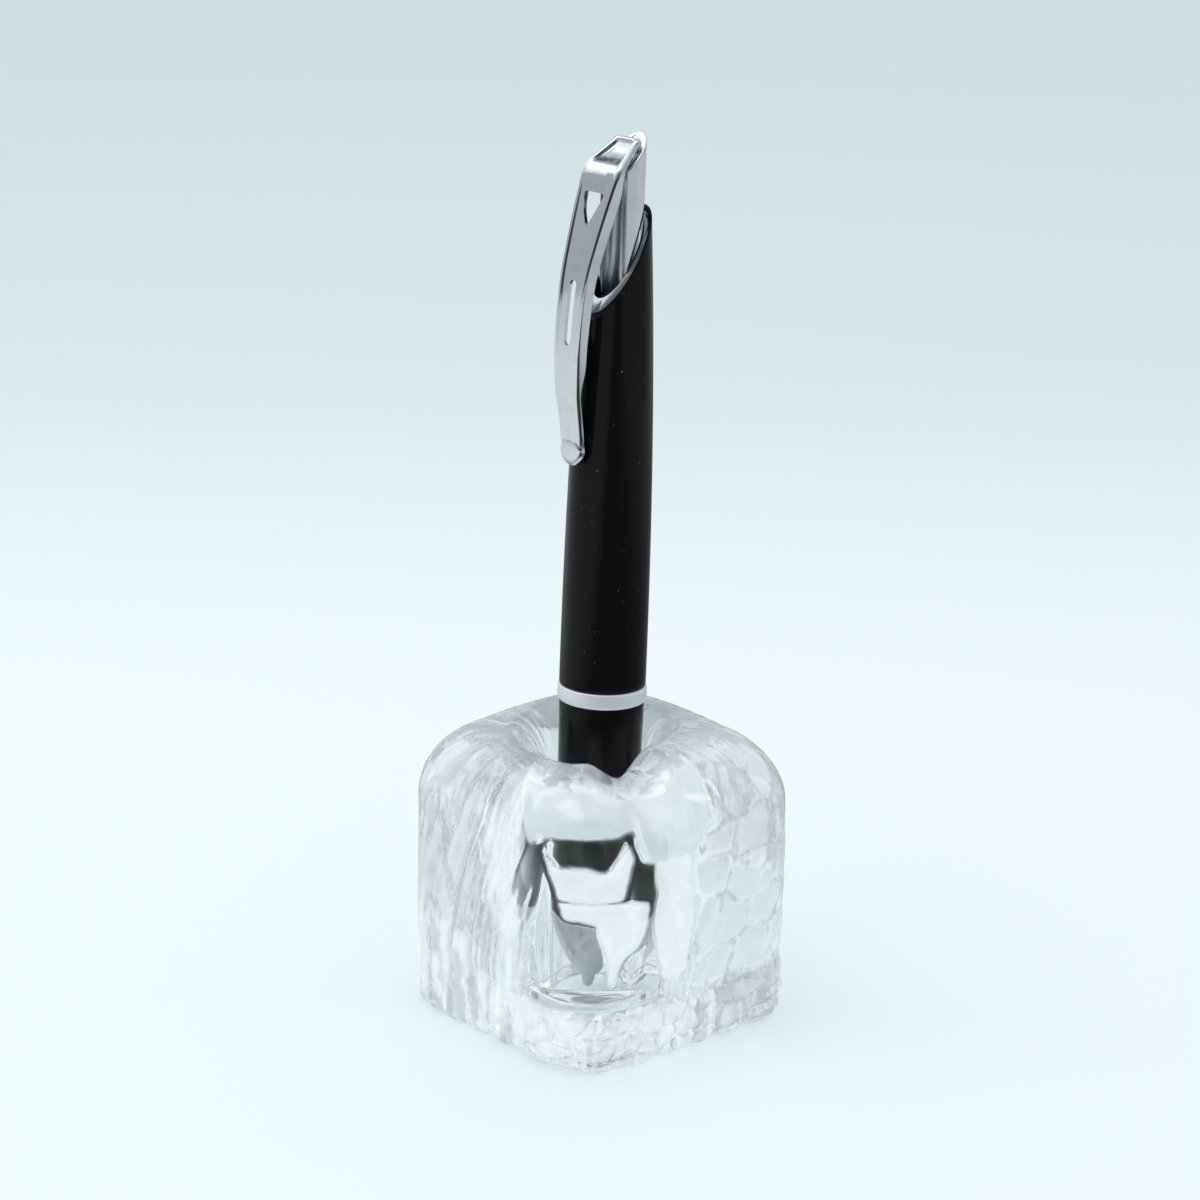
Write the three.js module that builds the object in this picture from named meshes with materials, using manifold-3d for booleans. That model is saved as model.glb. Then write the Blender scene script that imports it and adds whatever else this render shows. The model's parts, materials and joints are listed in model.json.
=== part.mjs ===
// A clear cast-glass desk block with a twist-action ballpoint pen standing in its bore.
// Millimetres, +Z up. The origin is the centre of the block's flat base. The photographed corner points at +X -Y.
import * as THREE from 'three';
import { mergeVertices } from 'three/addons/utils/BufferGeometryUtils.js';
import Module from 'manifold-3d';

const wasm = await Module();
wasm.setup();

// Glass block
const BLOCK_SIDE = 44.4;
const BLOCK_HEIGHT = 44.6;
const BLOCK_CORNER_RADIUS = 9;
const BASE_FILLET = 2.2;
const SHOULDER_DROP = 11;
const MOUTH_RADIUS = 13.2;
const FUNNEL_DEPTH = 11;
const BORE_PLAY = 1.0;
const BORE_FLOOR = 5.0;
const BORE_FLOOR_FILLET = 2.0;
const BORE_SHIFT = 1.0;
const RIDGE_DEPTH = 0.75;
const RIDGE_PITCH = 4.8;
const PEBBLE_WIDTH = 4.7;
const PEBBLE_HEIGHT = 6.4;
const PEBBLE_DEPTH = 0.7;
const SWELL_DEPTH = 0.4;
const LUMP_DEPTH = 0.42;
const LUMP_PITCH = 6.5;
const LUMP_BAND = 8.5;
const WAIST_DEPTH = 0.35;
const WAIST_HEIGHT = 9.5;
const FACET_DEPTH = 2.75;
const FACET_FOOT = 11;
const FACET_HALF_DEGREES = 30;
const NOTCH_DEPTH = 3.4;
const LIP_DROP = 1.6;

// Bearing and spread, in degrees, of the sides that are ridged and the sides that are pebbled
const RIDGED_SIDES = [[-100, 46], [175, 62]];
const PEBBLED_SIDES = [[12, 42], [88, 60]];

// The lobe that hangs under the front lip, and the two runs of glass below it
const FLOW_BEARING = -41;
const LOBE_LENGTH = 8.7;
const LOBE_LEFT = 11.6;
const LOBE_RIGHT = 17.5;
const LOBE_THICKNESS = 0.8;
const FIRST_RUN_GAP = 2.6;
const FIRST_RUN_LENGTH = 6.4;
const FIRST_RUN_LEFT = 6.8;
const FIRST_RUN_RIGHT = 4.1;
const SECOND_RUN_LENGTH = 12.2;
const SECOND_RUN_LEFT = 0.4;
const SECOND_RUN_RIGHT = 7.4;
const RUN_THICKNESS = 0.65;
const BLOCK_STEPS_ROUND = 76;
const WALL_ROWS = 17;

// How the pen stands: it leans towards +X +Y, and its clip points close to -Y
const LEAN_DEGREES = 2.1;
const LEAN_AZIMUTH_DEGREES = 49;
const CLIP_TURN_DEGREES = -3;
const LEAN_GAP = 0.6;
const STANDING_GAP = 0.3;

// Clearances between pieces
const SEAM = 0.15;
const FIT = 0.2;
const POINT_FIT = 0.08;

// Pen, outside
const BALL_RADIUS = 0.5;
const TIP_RADIUS = 1.15;
const TIP_REACH = 2.4;
const NOSE_LENGTH = 10.8;
const NOSE_END_RADIUS = 2.0;
const NOSE_BULGE = 0.55;
const LOWER_LENGTH = 29.9;
const LOWER_FOOT_RADIUS = 6.0;
const LOWER_HEAD_RADIUS = 6.28;
const RING_RADIUS = 6.58;
const RING_HEIGHT = 2.3;
const UPPER_FOOT_RADIUS = 6.4;
const UPPER_LENGTH = 76;
const UPPER_TAPER = 2.36;
const UPPER_TAPER_POWER = 2.2;
const BARREL_WALL = 0.85;
const SCOOP_HEIGHT = 63.3;
const SCOOP_DEGREES = 58.5;
const TUBE_RADIUS = 3.3;
const TUBE_WALL = 0.8;
const TUBE_OPEN_DEGREES = 65;
const TUBE_RISE = 17.45;
const TUBE_SEAT_DEPTH = 4;
const RIM_DEGREES = 45;

// Clip
const CLIP_THICKNESS = 0.6;
const CLIP_FLANGE = 1.9;
const CLIP_PANEL_DEPTH = 0.25;
const CLIP_TRAY_DEPTH = 0.55;
const CLIP_EDGE = 0.75;
const CLIP_SHOULDER_WIDTH = 8.2;
const CLIP_MID_WIDTH = 6.2;
const CLIP_END_WIDTH = 4.8;
const CLIP_TONGUE_WIDTH = 5.4;
const CLIP_ROOT_WIDTH = 2.2;
const CLIP_LENGTH = 46.5;
const CLIP_SHOULDER_DROP = 4.4;
const CLIP_REACH = 9.0;
const PAD_HALF_HEIGHT = 2.3;
const PAD_HALF_THICKNESS = 0.85;
const WINDOW_TOP_WIDTH = 4.6;
const WINDOW_LENGTH = 4.9;
const SLOT_WIDTH = 1.5;
const SLOT_LENGTH = 9.4;

// Pen, inside
const REFILL_RADIUS = 2.1;
const REFILL_WALL = 0.35;
const TIP_LENGTH = 12.2;
const CROWN_LENGTH = 4;
const SPRING_TURNS = 7;
const SPRING_WIRE_RADIUS = 0.2;
const SPRING_SEAT_DEPTH = 3.4;
const SPIGOT_LENGTH = 6;
const BUSH_WALL = 0.6;
const REAR_BUSH_LENGTH = 10;
const REAR_BUSH_RISE = 6;
const HOUSING_RADIUS = 3.5;
const HOUSING_WALL = 0.5;
const STROKE = 5;
const TWIST_DEGREES = 180;
const LUG_RADIUS = 0.55;
const CARRIER_LENGTH = 7;
const CAM_WALL = 0.5;
const CAM_STEM_RADIUS = 1.8;
const CAM_STEM_LENGTH = 4;
const CAM_MARGIN = 3;
const PLUG_FLOOR = 1.6;

const ROUND_STEPS = 36;
const INNER_STEPS = 24;

const toRadians = THREE.MathUtils.degToRad;
const { lerp, smoothstep } = THREE.MathUtils;

// Materials
function finish(color, roughness, metalness, extra = {}) {
  return new THREE.MeshStandardMaterial({ color, roughness, metalness, ...extra });
}
const glass = finish(0xe9f1f2, 0.05, 0, { transparent: true, opacity: 0.45 });
const blackLacquer = finish(0x0c0b0c, 0.12, 0.1);
const chrome = finish(0xc9cdd0, 0.08, 1);
const satinChrome = finish(0xc2c6c9, 0.3, 1);
const silver = finish(0xa9acae, 0.28, 1);
const brass = finish(0xb99a4f, 0.35, 1);
const springSteel = finish(0x9a9ea3, 0.3, 1);
const whitePlastic = finish(0xe6e3da, 0.5, 0);
const greyPlastic = finish(0x54575b, 0.5, 0);

// A closed geometry as a solid, and a solid as a geometry
function solidOf(geometry) {
  const bare = geometry.clone();
  bare.deleteAttribute('normal');
  bare.deleteAttribute('uv');
  const merged = mergeVertices(bare, 1e-4);
  const corners = merged.index.array;
  const triangles = [];
  for (let i = 0; i < corners.length; i += 3) {
    const [a, b, c] = [corners[i], corners[i + 1], corners[i + 2]];
    if (a !== b && b !== c && c !== a) triangles.push(a, b, c);
  }
  const vertProperties = new Float32Array(merged.attributes.position.array);
  return new wasm.Manifold(new wasm.Mesh({ numProp: 3, vertProperties, triVerts: new Uint32Array(triangles) }));
}

function geometryOf(solid) {
  const mesh = solid.getMesh();
  const geometry = new THREE.BufferGeometry();
  geometry.setAttribute('position', new THREE.BufferAttribute(new Float32Array(mesh.vertProperties), 3));
  geometry.setIndex(new THREE.BufferAttribute(new Uint32Array(mesh.triVerts), 1));
  return geometry;
}

// A revolved piece about +Z: its profile of [radius, height] runs up the outside and back down the inside
function revolve(profile, steps = ROUND_STEPS) {
  const points = profile.map(([radius, height]) => new THREE.Vector2(radius, height));
  return new THREE.LatheGeometry(points, steps).rotateX(Math.PI / 2);
}

function tubeProfile(outer, inner, low, high) {
  return [[inner, low], [outer, low], [outer, high], [inner, high], [inner, low]];
}

// A closed skin over rings of points, given from the bottom ring up with a single point at either end
function skin(rings) {
  const positions = [];
  const faces = [];
  const starts = rings.map((ring) => {
    const start = positions.length / 3;
    ring.forEach((point) => positions.push(point.x, point.y, point.z));
    return start;
  });
  for (let k = 0; k + 1 < rings.length; k += 1) {
    const count = Math.max(rings[k].length, rings[k + 1].length);
    for (let i = 0; i < count; i += 1) {
      const next = (i + 1) % count;
      const low = starts[k];
      const high = starts[k + 1];
      if (rings[k].length === 1) faces.push(low, high + next, high + i);
      else if (rings[k + 1].length === 1) faces.push(low + i, low + next, high);
      else faces.push(low + i, low + next, high + next, low + i, high + next, high + i);
    }
  }
  const geometry = new THREE.BufferGeometry();
  geometry.setAttribute('position', new THREE.Float32BufferAttribute(positions, 3));
  geometry.setIndex(faces);
  return geometry;
}

// Heights along the pen, measured from the ball point
const noseStart = TIP_REACH;
const lowerStart = noseStart + NOSE_LENGTH + SEAM;
const lowerEnd = lowerStart + LOWER_LENGTH;
const ringStart = lowerEnd + SEAM;
const upperStart = ringStart + RING_HEIGHT + SEAM;
const scoopCentre = upperStart + SCOOP_HEIGHT;
const tubeTop = scoopCentre + TUBE_RISE;

function lowerRadius(height) {
  return lerp(LOWER_FOOT_RADIUS, LOWER_HEAD_RADIUS, (height - lowerStart) / LOWER_LENGTH);
}

function upperRadius(height) {
  const along = Math.max(0, (height - upperStart) / UPPER_LENGTH);
  return UPPER_FOOT_RADIUS - UPPER_TAPER * along ** UPPER_TAPER_POWER;
}

// The scoop's lowest point, where its plane meets the barrel's front
let scoopLow = scoopCentre;
for (let round = 0; round < 6; round += 1) {
  scoopLow = scoopCentre - Math.tan(toRadians(SCOOP_DEGREES)) * upperRadius(scoopLow);
}

// Inside the barrels each piece is stacked down from the scoop, and the refill takes the length that is left
const plugTop = scoopLow - 0.6;
const tubeFoot = plugTop - TUBE_SEAT_DEPTH;
const stemTop = tubeFoot - FIT - PLUG_FLOOR - FIT;
const camTop = stemTop - CAM_STEM_LENGTH;
const housingTop = camTop - CAM_WALL - FIT;
const carrierFoot = housingTop - FIT - STROKE - CARRIER_LENGTH;
const lugHeight = carrierFoot + CARRIER_LENGTH * 0.6;
const crownFoot = carrierFoot - SEAM - CROWN_LENGTH / 2;
const camInner = HOUSING_RADIUS + FIT;
const camOuter = camInner + CAM_WALL;

// Glass block: sizes that follow the pen
const boreRadius = LOWER_HEAD_RADIUS + BORE_PLAY;
const throatHeight = BLOCK_HEIGHT - FUNNEL_DEPTH;
const leanDirection = new THREE.Vector2(1, 0).rotateAround(new THREE.Vector2(), toRadians(LEAN_AZIMUTH_DEGREES));
const boreCentre = leanDirection.clone().multiplyScalar(-BORE_SHIFT);
const axisAtThroat = BORE_PLAY - LEAN_GAP - BORE_SHIFT;
const pointHeight = BORE_FLOOR + STANDING_GAP;
const axisAtFloor = axisAtThroat - Math.tan(toRadians(LEAN_DEGREES)) * (throatHeight - pointHeight);

// Distance from the centre to a square with rounded corners, in the direction of an angle
function roundedSquare(angle, side, cornerRadius) {
  const x = Math.abs(Math.cos(angle));
  const y = Math.abs(Math.sin(angle));
  const half = side / 2;
  const flat = half / Math.max(x, y);
  const core = half - cornerRadius;
  if (flat * Math.min(x, y) <= core) return flat;
  const middle = core * (x + y);
  return middle + Math.sqrt(middle ** 2 - 2 * core ** 2 + cornerRadius ** 2);
}

// How near an angle lies to a bearing: 1 on it, falling to 0 a spread away
function near(angle, bearingDegrees, spreadDegrees) {
  const turn = angle - toRadians(bearingDegrees);
  const away = Math.abs(Math.atan2(Math.sin(turn), Math.cos(turn)));
  return 1 - smoothstep(away, 0, toRadians(spreadDegrees));
}

// A repeatable scatter from 0 to 1, and slow random swells from -1 to 1 built on it
function scatter(i, j, k) {
  const wave = Math.sin(i * 12.9898 + j * 78.233 + k * 37.719) * 43758.5453;
  return wave - Math.floor(wave);
}

function swell(x, y, seed) {
  let total = 0;
  for (let k = 0; k < 5; k += 1) {
    const turn = 2 * Math.PI * scatter(k, seed, 3);
    const rate = 0.6 + 0.9 * scatter(k, seed, 5);
    total += Math.sin(rate * (x * Math.cos(turn) + y * Math.sin(turn)) + 6.3 * scatter(k, seed, 7));
  }
  return total / 3;
}

// Distances to the nearest and second nearest of the scattered cell middles
function cells(u, v) {
  let first = 9;
  let second = 9;
  for (const i of [-1, 0, 1].map((step) => Math.floor(u) + step)) {
    for (const j of [-1, 0, 1].map((step) => Math.floor(v) + step)) {
      const away = Math.hypot(u - i - 0.15 - 0.7 * scatter(i, j, 1), v - j - 0.15 - 0.7 * scatter(i, j, 2));
      second = Math.min(second, Math.max(first, away));
      first = Math.min(first, away);
    }
  }
  return { first, second };
}

// Cast ridges that run down the -Y and -X sides like bark
function ridges(around, height) {
  const drift = 3 * Math.sin(height / 11 + 0.5) + 0.16 * (40 - height) + 1.6 * swell(around / 8, height / 10, 1);
  const tall = 0.5 + 0.5 * swell(around / 5, height / 12, 2);
  return tall * (0.62 * Math.abs(Math.cos((around + drift) * Math.PI / RIDGE_PITCH)) ** 0.7 - 0.38);
}

// Rounded pebbles with narrow valleys between them on the +X and +Y sides
function pebbles(around, height) {
  const u = around / PEBBLE_WIDTH + 0.3 * swell(around / 6, height / 6, 4);
  const v = height / PEBBLE_HEIGHT + 0.3 * swell(around / 6, height / 6, 5) + 0.5;
  const { first, second } = cells(u, v);
  return smoothstep(second - first, 0, 0.42) * (0.62 - 0.42 * first ** 2) - 0.32;
}

// 1 inside a box of the unrolled wall, with a soft edge
function patch(u, v, left, right, low, high) {
  const edge = 1.1;
  const across = smoothstep(u, left - edge, left + edge) * (1 - smoothstep(u, right - edge, right + edge));
  return across * smoothstep(v, low - edge, low + edge) * (1 - smoothstep(v, high - edge, high + edge));
}

// How thick the flow at the front lies on the wall
function frontFlow(angle, height) {
  const turn = angle - toRadians(FLOW_BEARING);
  if (Math.cos(turn) <= 0) return 0;
  const u = 0.62 * BLOCK_SIDE * Math.sin(turn);
  const hem = BLOCK_HEIGHT - LOBE_LENGTH + 0.35 * Math.sin(u / 2.2) - 1.1 * smoothstep(u, 5, 8);
  const lobe = patch(u, height, -LOBE_LEFT, LOBE_RIGHT, hem + 0.2, 2 * BLOCK_HEIGHT);
  const firstTop = BLOCK_HEIGHT - LOBE_LENGTH - FIRST_RUN_GAP;
  const firstFoot = firstTop - FIRST_RUN_LENGTH;
  const first = patch(u, height, -FIRST_RUN_LEFT, FIRST_RUN_RIGHT, firstFoot, firstTop);
  const second = patch(u, height, SECOND_RUN_LEFT, SECOND_RUN_RIGHT, firstFoot - SECOND_RUN_LENGTH, firstFoot);
  return LOBE_THICKNESS * lobe + RUN_THICKNESS * Math.max(first, second);
}

function castTexture(angle, height) {
  const around = angle * BLOCK_SIDE / 2;
  const ridged = Math.max(...RIDGED_SIDES.map((side) => near(angle, ...side)));
  const pebbled = Math.max(...PEBBLED_SIDES.map((side) => near(angle, ...side)));
  const front = near(angle, FLOW_BEARING, 28);
  const calm = RIDGE_DEPTH * ridged * ridges(around, height) + PEBBLE_DEPTH * pebbled * pebbles(around, height)
    + SWELL_DEPTH * (1 - 0.7 * front) * swell(around / 7, height / 8, 6);
  const lumpy = 1 - smoothstep(height, 2, LUMP_BAND);
  const lumps = LUMP_DEPTH * Math.sin(around * 2 * Math.PI / LUMP_PITCH + 1.3 * Math.sin(around / 7));
  const waist = WAIST_DEPTH * Math.exp(-(((height - WAIST_HEIGHT) / 1.6) ** 2));
  return calm * (1 - lumpy) + lumpy * lumps - waist;
}

// The front corner is rounded off into a smooth facet between a ledge at its foot and the lobe at its top.
// This is the furthest that the wall may stand from the middle.
function facetLimit(angle, height) {
  const cornerReach = BLOCK_SIDE / Math.SQRT2 - BLOCK_CORNER_RADIUS * (Math.SQRT2 - 1);
  const turn = Math.abs(angle - toRadians(FLOW_BEARING - 2));
  const top = BLOCK_HEIGHT - LOBE_LENGTH;
  const across = 1 - smoothstep(turn, toRadians(FACET_HALF_DEGREES - 6), toRadians(FACET_HALF_DEGREES + 6));
  const upright = smoothstep(height, FACET_FOOT - 1, FACET_FOOT + 1) * (1 - smoothstep(height, top - 2, top + 3));
  return cornerReach - FACET_DEPTH + BLOCK_CORNER_RADIUS * (1 - across * upright);
}

// The lesser of two numbers, with a soft change from one to the other
function softLeast(a, b, blend) {
  const share = THREE.MathUtils.clamp(0.5 + 0.5 * (b - a) / blend, 0, 1);
  return lerp(b, a, share) - blend * share * (1 - share);
}

// The rim of the mouth rises at the back and dips into a notch at the front right
function rimHeight(angle) {
  const back = 0.6 * near(angle, 139, 80);
  const rightLobe = 0.5 * near(angle, 20, 30);
  const leftLobe = 0.3 * near(angle, -110, 50);
  const front = LIP_DROP * near(angle, -60, 60);
  return BLOCK_HEIGHT - 0.6 + back + rightLobe + leftLobe - front - NOTCH_DEPTH * near(angle, -22, 26);
}

function glassBlock() {
  const rings = [];
  const angles = Array.from({ length: BLOCK_STEPS_ROUND }, (_, i) => (i / BLOCK_STEPS_ROUND) * 2 * Math.PI - Math.PI);
  const wall = (angle, height, inset) => {
    const belly = 1 - 0.018 * ((height - 0.36 * BLOCK_HEIGHT) / (0.5 * BLOCK_HEIGHT)) ** 2;
    const plain = roundedSquare(angle, BLOCK_SIDE, BLOCK_CORNER_RADIUS) * belly;
    return softLeast(plain - inset + castTexture(angle, height), facetLimit(angle, height), 1)
      + frontFlow(angle, height);
  };
  const ringAt = (place) => angles.map((angle) => {
    const { radius, height, centre } = place(angle);
    return new THREE.Vector3(
      centre.x + radius * Math.cos(angle),
      centre.y + radius * Math.sin(angle),
      height,
    );
  });
  const middle = new THREE.Vector2();
  const addWall = (height, inset) => {
    rings.push(ringAt((angle) => ({ radius: wall(angle, height, inset), height, centre: middle })));
  };

  rings.push([new THREE.Vector3(0, 0, 0)]);
  rings.push(ringAt((angle) => ({ radius: 0.6 * wall(angle, 0, BASE_FILLET), height: 0, centre: middle })));
  for (const turn of [0, 30, 60]) {
    const inset = BASE_FILLET * (1 - Math.sin(toRadians(turn)));
    addWall(BASE_FILLET * (1 - Math.cos(toRadians(turn))), inset);
  }
  const shoulderStart = BLOCK_HEIGHT - SHOULDER_DROP;
  for (let row = 0; row <= WALL_ROWS; row += 1) addWall(lerp(BASE_FILLET, shoulderStart, row / WALL_ROWS), 0);

  // The shoulder rolls over from the wall to the rim, and the funnel from the rim down to the bore
  const shoulderRows = 7;
  for (let row = 1; row <= shoulderRows; row += 1) {
    const turn = (row / shoulderRows) * Math.PI / 2;
    rings.push(ringAt((angle) => {
      const outer = wall(angle, shoulderStart + (row / shoulderRows) * 6, 0);
      const fade = Math.cos(turn) ** 0.8;
      return {
        radius: lerp(MOUTH_RADIUS, outer, fade),
        height: lerp(shoulderStart, rimHeight(angle), Math.sin(turn) ** 1.1),
        centre: boreCentre.clone().multiplyScalar(1 - fade),
      };
    }));
  }
  const funnelRows = 6;
  for (let row = 1; row <= funnelRows; row += 1) {
    const turn = (row / funnelRows) * Math.PI / 2;
    rings.push(ringAt((angle) => ({
      radius: lerp(MOUTH_RADIUS, boreRadius, Math.sin(turn)),
      height: lerp(throatHeight, rimHeight(angle), Math.cos(turn)),
      centre: boreCentre,
    })));
  }
  const boreEnd = BORE_FLOOR + BORE_FLOOR_FILLET;
  const boreRows = 3;
  for (let row = 1; row <= boreRows; row += 1) {
    const height = lerp(throatHeight, boreEnd, row / boreRows);
    rings.push(ringAt(() => ({ radius: boreRadius, height, centre: boreCentre })));
  }
  for (const turn of [30, 60, 90]) {
    const radius = boreRadius - BORE_FLOOR_FILLET * (1 - Math.cos(toRadians(turn)));
    const height = boreEnd - BORE_FLOOR_FILLET * Math.sin(toRadians(turn));
    rings.push(ringAt(() => ({ radius, height, centre: boreCentre })));
  }
  rings.push([new THREE.Vector3(boreCentre.x, boreCentre.y, BORE_FLOOR)]);

  // The uneven casting is set down with the middle of its outline on the origin
  const geometry = skin(rings);
  geometry.computeBoundingBox();
  const outline = geometry.boundingBox.getCenter(new THREE.Vector3());
  return { geometry, offset: new THREE.Vector3(-outline.x, -outline.y, 0) };
}

// Writing end
function noseCone() {
  const shoulderRadius = LOWER_FOOT_RADIUS;
  const spigotRadius = LOWER_FOOT_RADIUS - BARREL_WALL - FIT - BUSH_WALL - FIT;
  const top = noseStart + NOSE_LENGTH;
  const chamberRadius = REFILL_RADIUS + 2 * FIT;
  const seat = noseStart + SPRING_SEAT_DEPTH;
  const coneSteps = 5;
  const outside = [];
  for (let i = 0; i <= coneSteps; i += 1) {
    const along = i / coneSteps;
    const bulge = NOSE_BULGE * Math.sin(Math.PI * along);
    outside.push([
      lerp(NOSE_END_RADIUS, shoulderRadius, along) + bulge,
      lerp(noseStart + 0.4, top - 1.2, along),
    ]);
  }
  const profile = [
    [TIP_RADIUS + FIT, noseStart],
    [NOSE_END_RADIUS - 0.4, noseStart],
    ...outside,
    [shoulderRadius, top],
    [spigotRadius, top],
    [spigotRadius, top + SPIGOT_LENGTH],
    [chamberRadius, top + SPIGOT_LENGTH],
    [chamberRadius, seat],
    [TIP_RADIUS + FIT, seat],
    [TIP_RADIUS + FIT, noseStart],
  ];
  return revolve(profile);
}

function frontBush() {
  const outer = LOWER_FOOT_RADIUS - BARREL_WALL - FIT;
  return revolve(tubeProfile(outer, outer - BUSH_WALL, lowerStart + SEAM, lowerStart + SPIGOT_LENGTH + 1), INNER_STEPS);
}

function lowerBarrel() {
  const edge = 0.15;
  return revolve([
    [LOWER_FOOT_RADIUS - BARREL_WALL, lowerStart],
    [LOWER_FOOT_RADIUS - edge, lowerStart],
    [LOWER_FOOT_RADIUS, lowerStart + edge],
    [lowerRadius(lowerStart + LOWER_LENGTH / 2), lowerStart + LOWER_LENGTH / 2],
    [LOWER_HEAD_RADIUS, lowerEnd - edge],
    [LOWER_HEAD_RADIUS - edge, lowerEnd],
    [LOWER_HEAD_RADIUS - BARREL_WALL, lowerEnd],
    [LOWER_FOOT_RADIUS - BARREL_WALL, lowerStart],
  ]);
}

// The rear bush fills the lower barrel's head and rises through the ring as the bearing of the upper barrel
const bearingRadius = LOWER_FOOT_RADIUS - BARREL_WALL - FIT;

function rearBush() {
  const outer = bearingRadius;
  const foot = lowerEnd - REAR_BUSH_LENGTH;
  return revolve([
    [HOUSING_RADIUS + FIT, foot],
    [outer, foot],
    [outer, lowerEnd + REAR_BUSH_RISE - 0.4],
    [outer - 0.4, lowerEnd + REAR_BUSH_RISE],
    [HOUSING_RADIUS + FIT, lowerEnd + REAR_BUSH_RISE],
    [HOUSING_RADIUS + FIT, foot],
  ], INNER_STEPS);
}

function centreRing() {
  const edge = 0.18;
  return revolve([
    [bearingRadius + FIT, ringStart],
    [RING_RADIUS - edge, ringStart],
    [RING_RADIUS, ringStart + edge],
    [RING_RADIUS, ringStart + RING_HEIGHT - edge],
    [RING_RADIUS - edge, ringStart + RING_HEIGHT],
    [bearingRadius + FIT, ringStart + RING_HEIGHT],
    [bearingRadius + FIT, ringStart],
  ]);
}

function upperBarrel() {
  const top = upperStart + UPPER_LENGTH;
  const steps = 8;
  const heights = Array.from({ length: steps + 1 }, (_, i) => lerp(upperStart + 0.15, top, i / steps));
  // Above the drive plug the bore closes in on the chrome tube
  const tubeBoreRadius = TUBE_RADIUS + SEAM;
  const plugSeat = plugTop + SEAM;
  const boreHeights = [upperStart, lerp(upperStart, plugSeat, 0.6), plugSeat];
  const tube = solidOf(revolve([
    [upperRadius(upperStart) - BARREL_WALL, upperStart],
    [UPPER_FOOT_RADIUS - 0.15, upperStart],
    ...heights.map((height) => [upperRadius(height), height]),
    [tubeBoreRadius, top],
    [tubeBoreRadius, plugSeat],
    ...boreHeights.map((height) => [upperRadius(height) - BARREL_WALL, height]).reverse(),
  ]));
  // The scoop is one slanted plane that leaves the back of the barrel standing
  const reach = 4 * UPPER_FOOT_RADIUS;
  const cutter = new THREE.BoxGeometry(reach, 2 * reach, reach);
  cutter.translate(0, 0, reach / 2);
  cutter.rotateX(toRadians(SCOOP_DEGREES));
  cutter.translate(0, 0, scoopCentre);
  return geometryOf(tube.subtract(solidOf(cutter)));
}

// Chrome tube: a wall bent round the back, open towards the clip, with a slanted rim
function capTube() {
  const open = toRadians(TUBE_OPEN_DEGREES);
  const steps = 22;
  const inner = TUBE_RADIUS - TUBE_WALL;
  const section = new THREE.Shape();
  const spot = (radius, turn) => new THREE.Vector2(radius * Math.sin(turn), -radius * Math.cos(turn));
  const turns = Array.from({ length: steps + 1 }, (_, i) => lerp(open, 2 * Math.PI - open, i / steps));
  section.setFromPoints([
    ...turns.map((turn) => spot(TUBE_RADIUS, turn)),
    ...turns.map((turn) => spot(inner, turn)).reverse(),
  ]);
  const wall = new THREE.ExtrudeGeometry(section, { depth: tubeTop - tubeFoot, bevelEnabled: false });
  wall.translate(0, 0, tubeFoot);
  const reach = 4 * TUBE_RADIUS;
  const cutter = new THREE.BoxGeometry(reach, 2 * reach, reach);
  cutter.translate(0, 0, reach / 2);
  cutter.rotateX(toRadians(RIM_DEGREES));
  cutter.translate(0, 0, tubeTop - TUBE_RADIUS * Math.tan(toRadians(RIM_DEGREES)));
  return geometryOf(solidOf(wall).subtract(solidOf(cutter)));
}

// Clip: stations down its outer face, each with its distance from the pen's axis towards the clip, its height,
// its width, the depth of its side flanges and the depth of the panel between its raised edges
const clipTop = tubeTop - 0.6;
const shoulderHeight = tubeTop - CLIP_SHOULDER_DROP;
const padHeight = clipTop - CLIP_LENGTH + PAD_HALF_HEIGHT;
const padReach = upperRadius(padHeight) + FIT + PAD_HALF_THICKNESS;
const rootReach = FIT + TUBE_WALL + 0.25 - TUBE_RADIUS;

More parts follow.
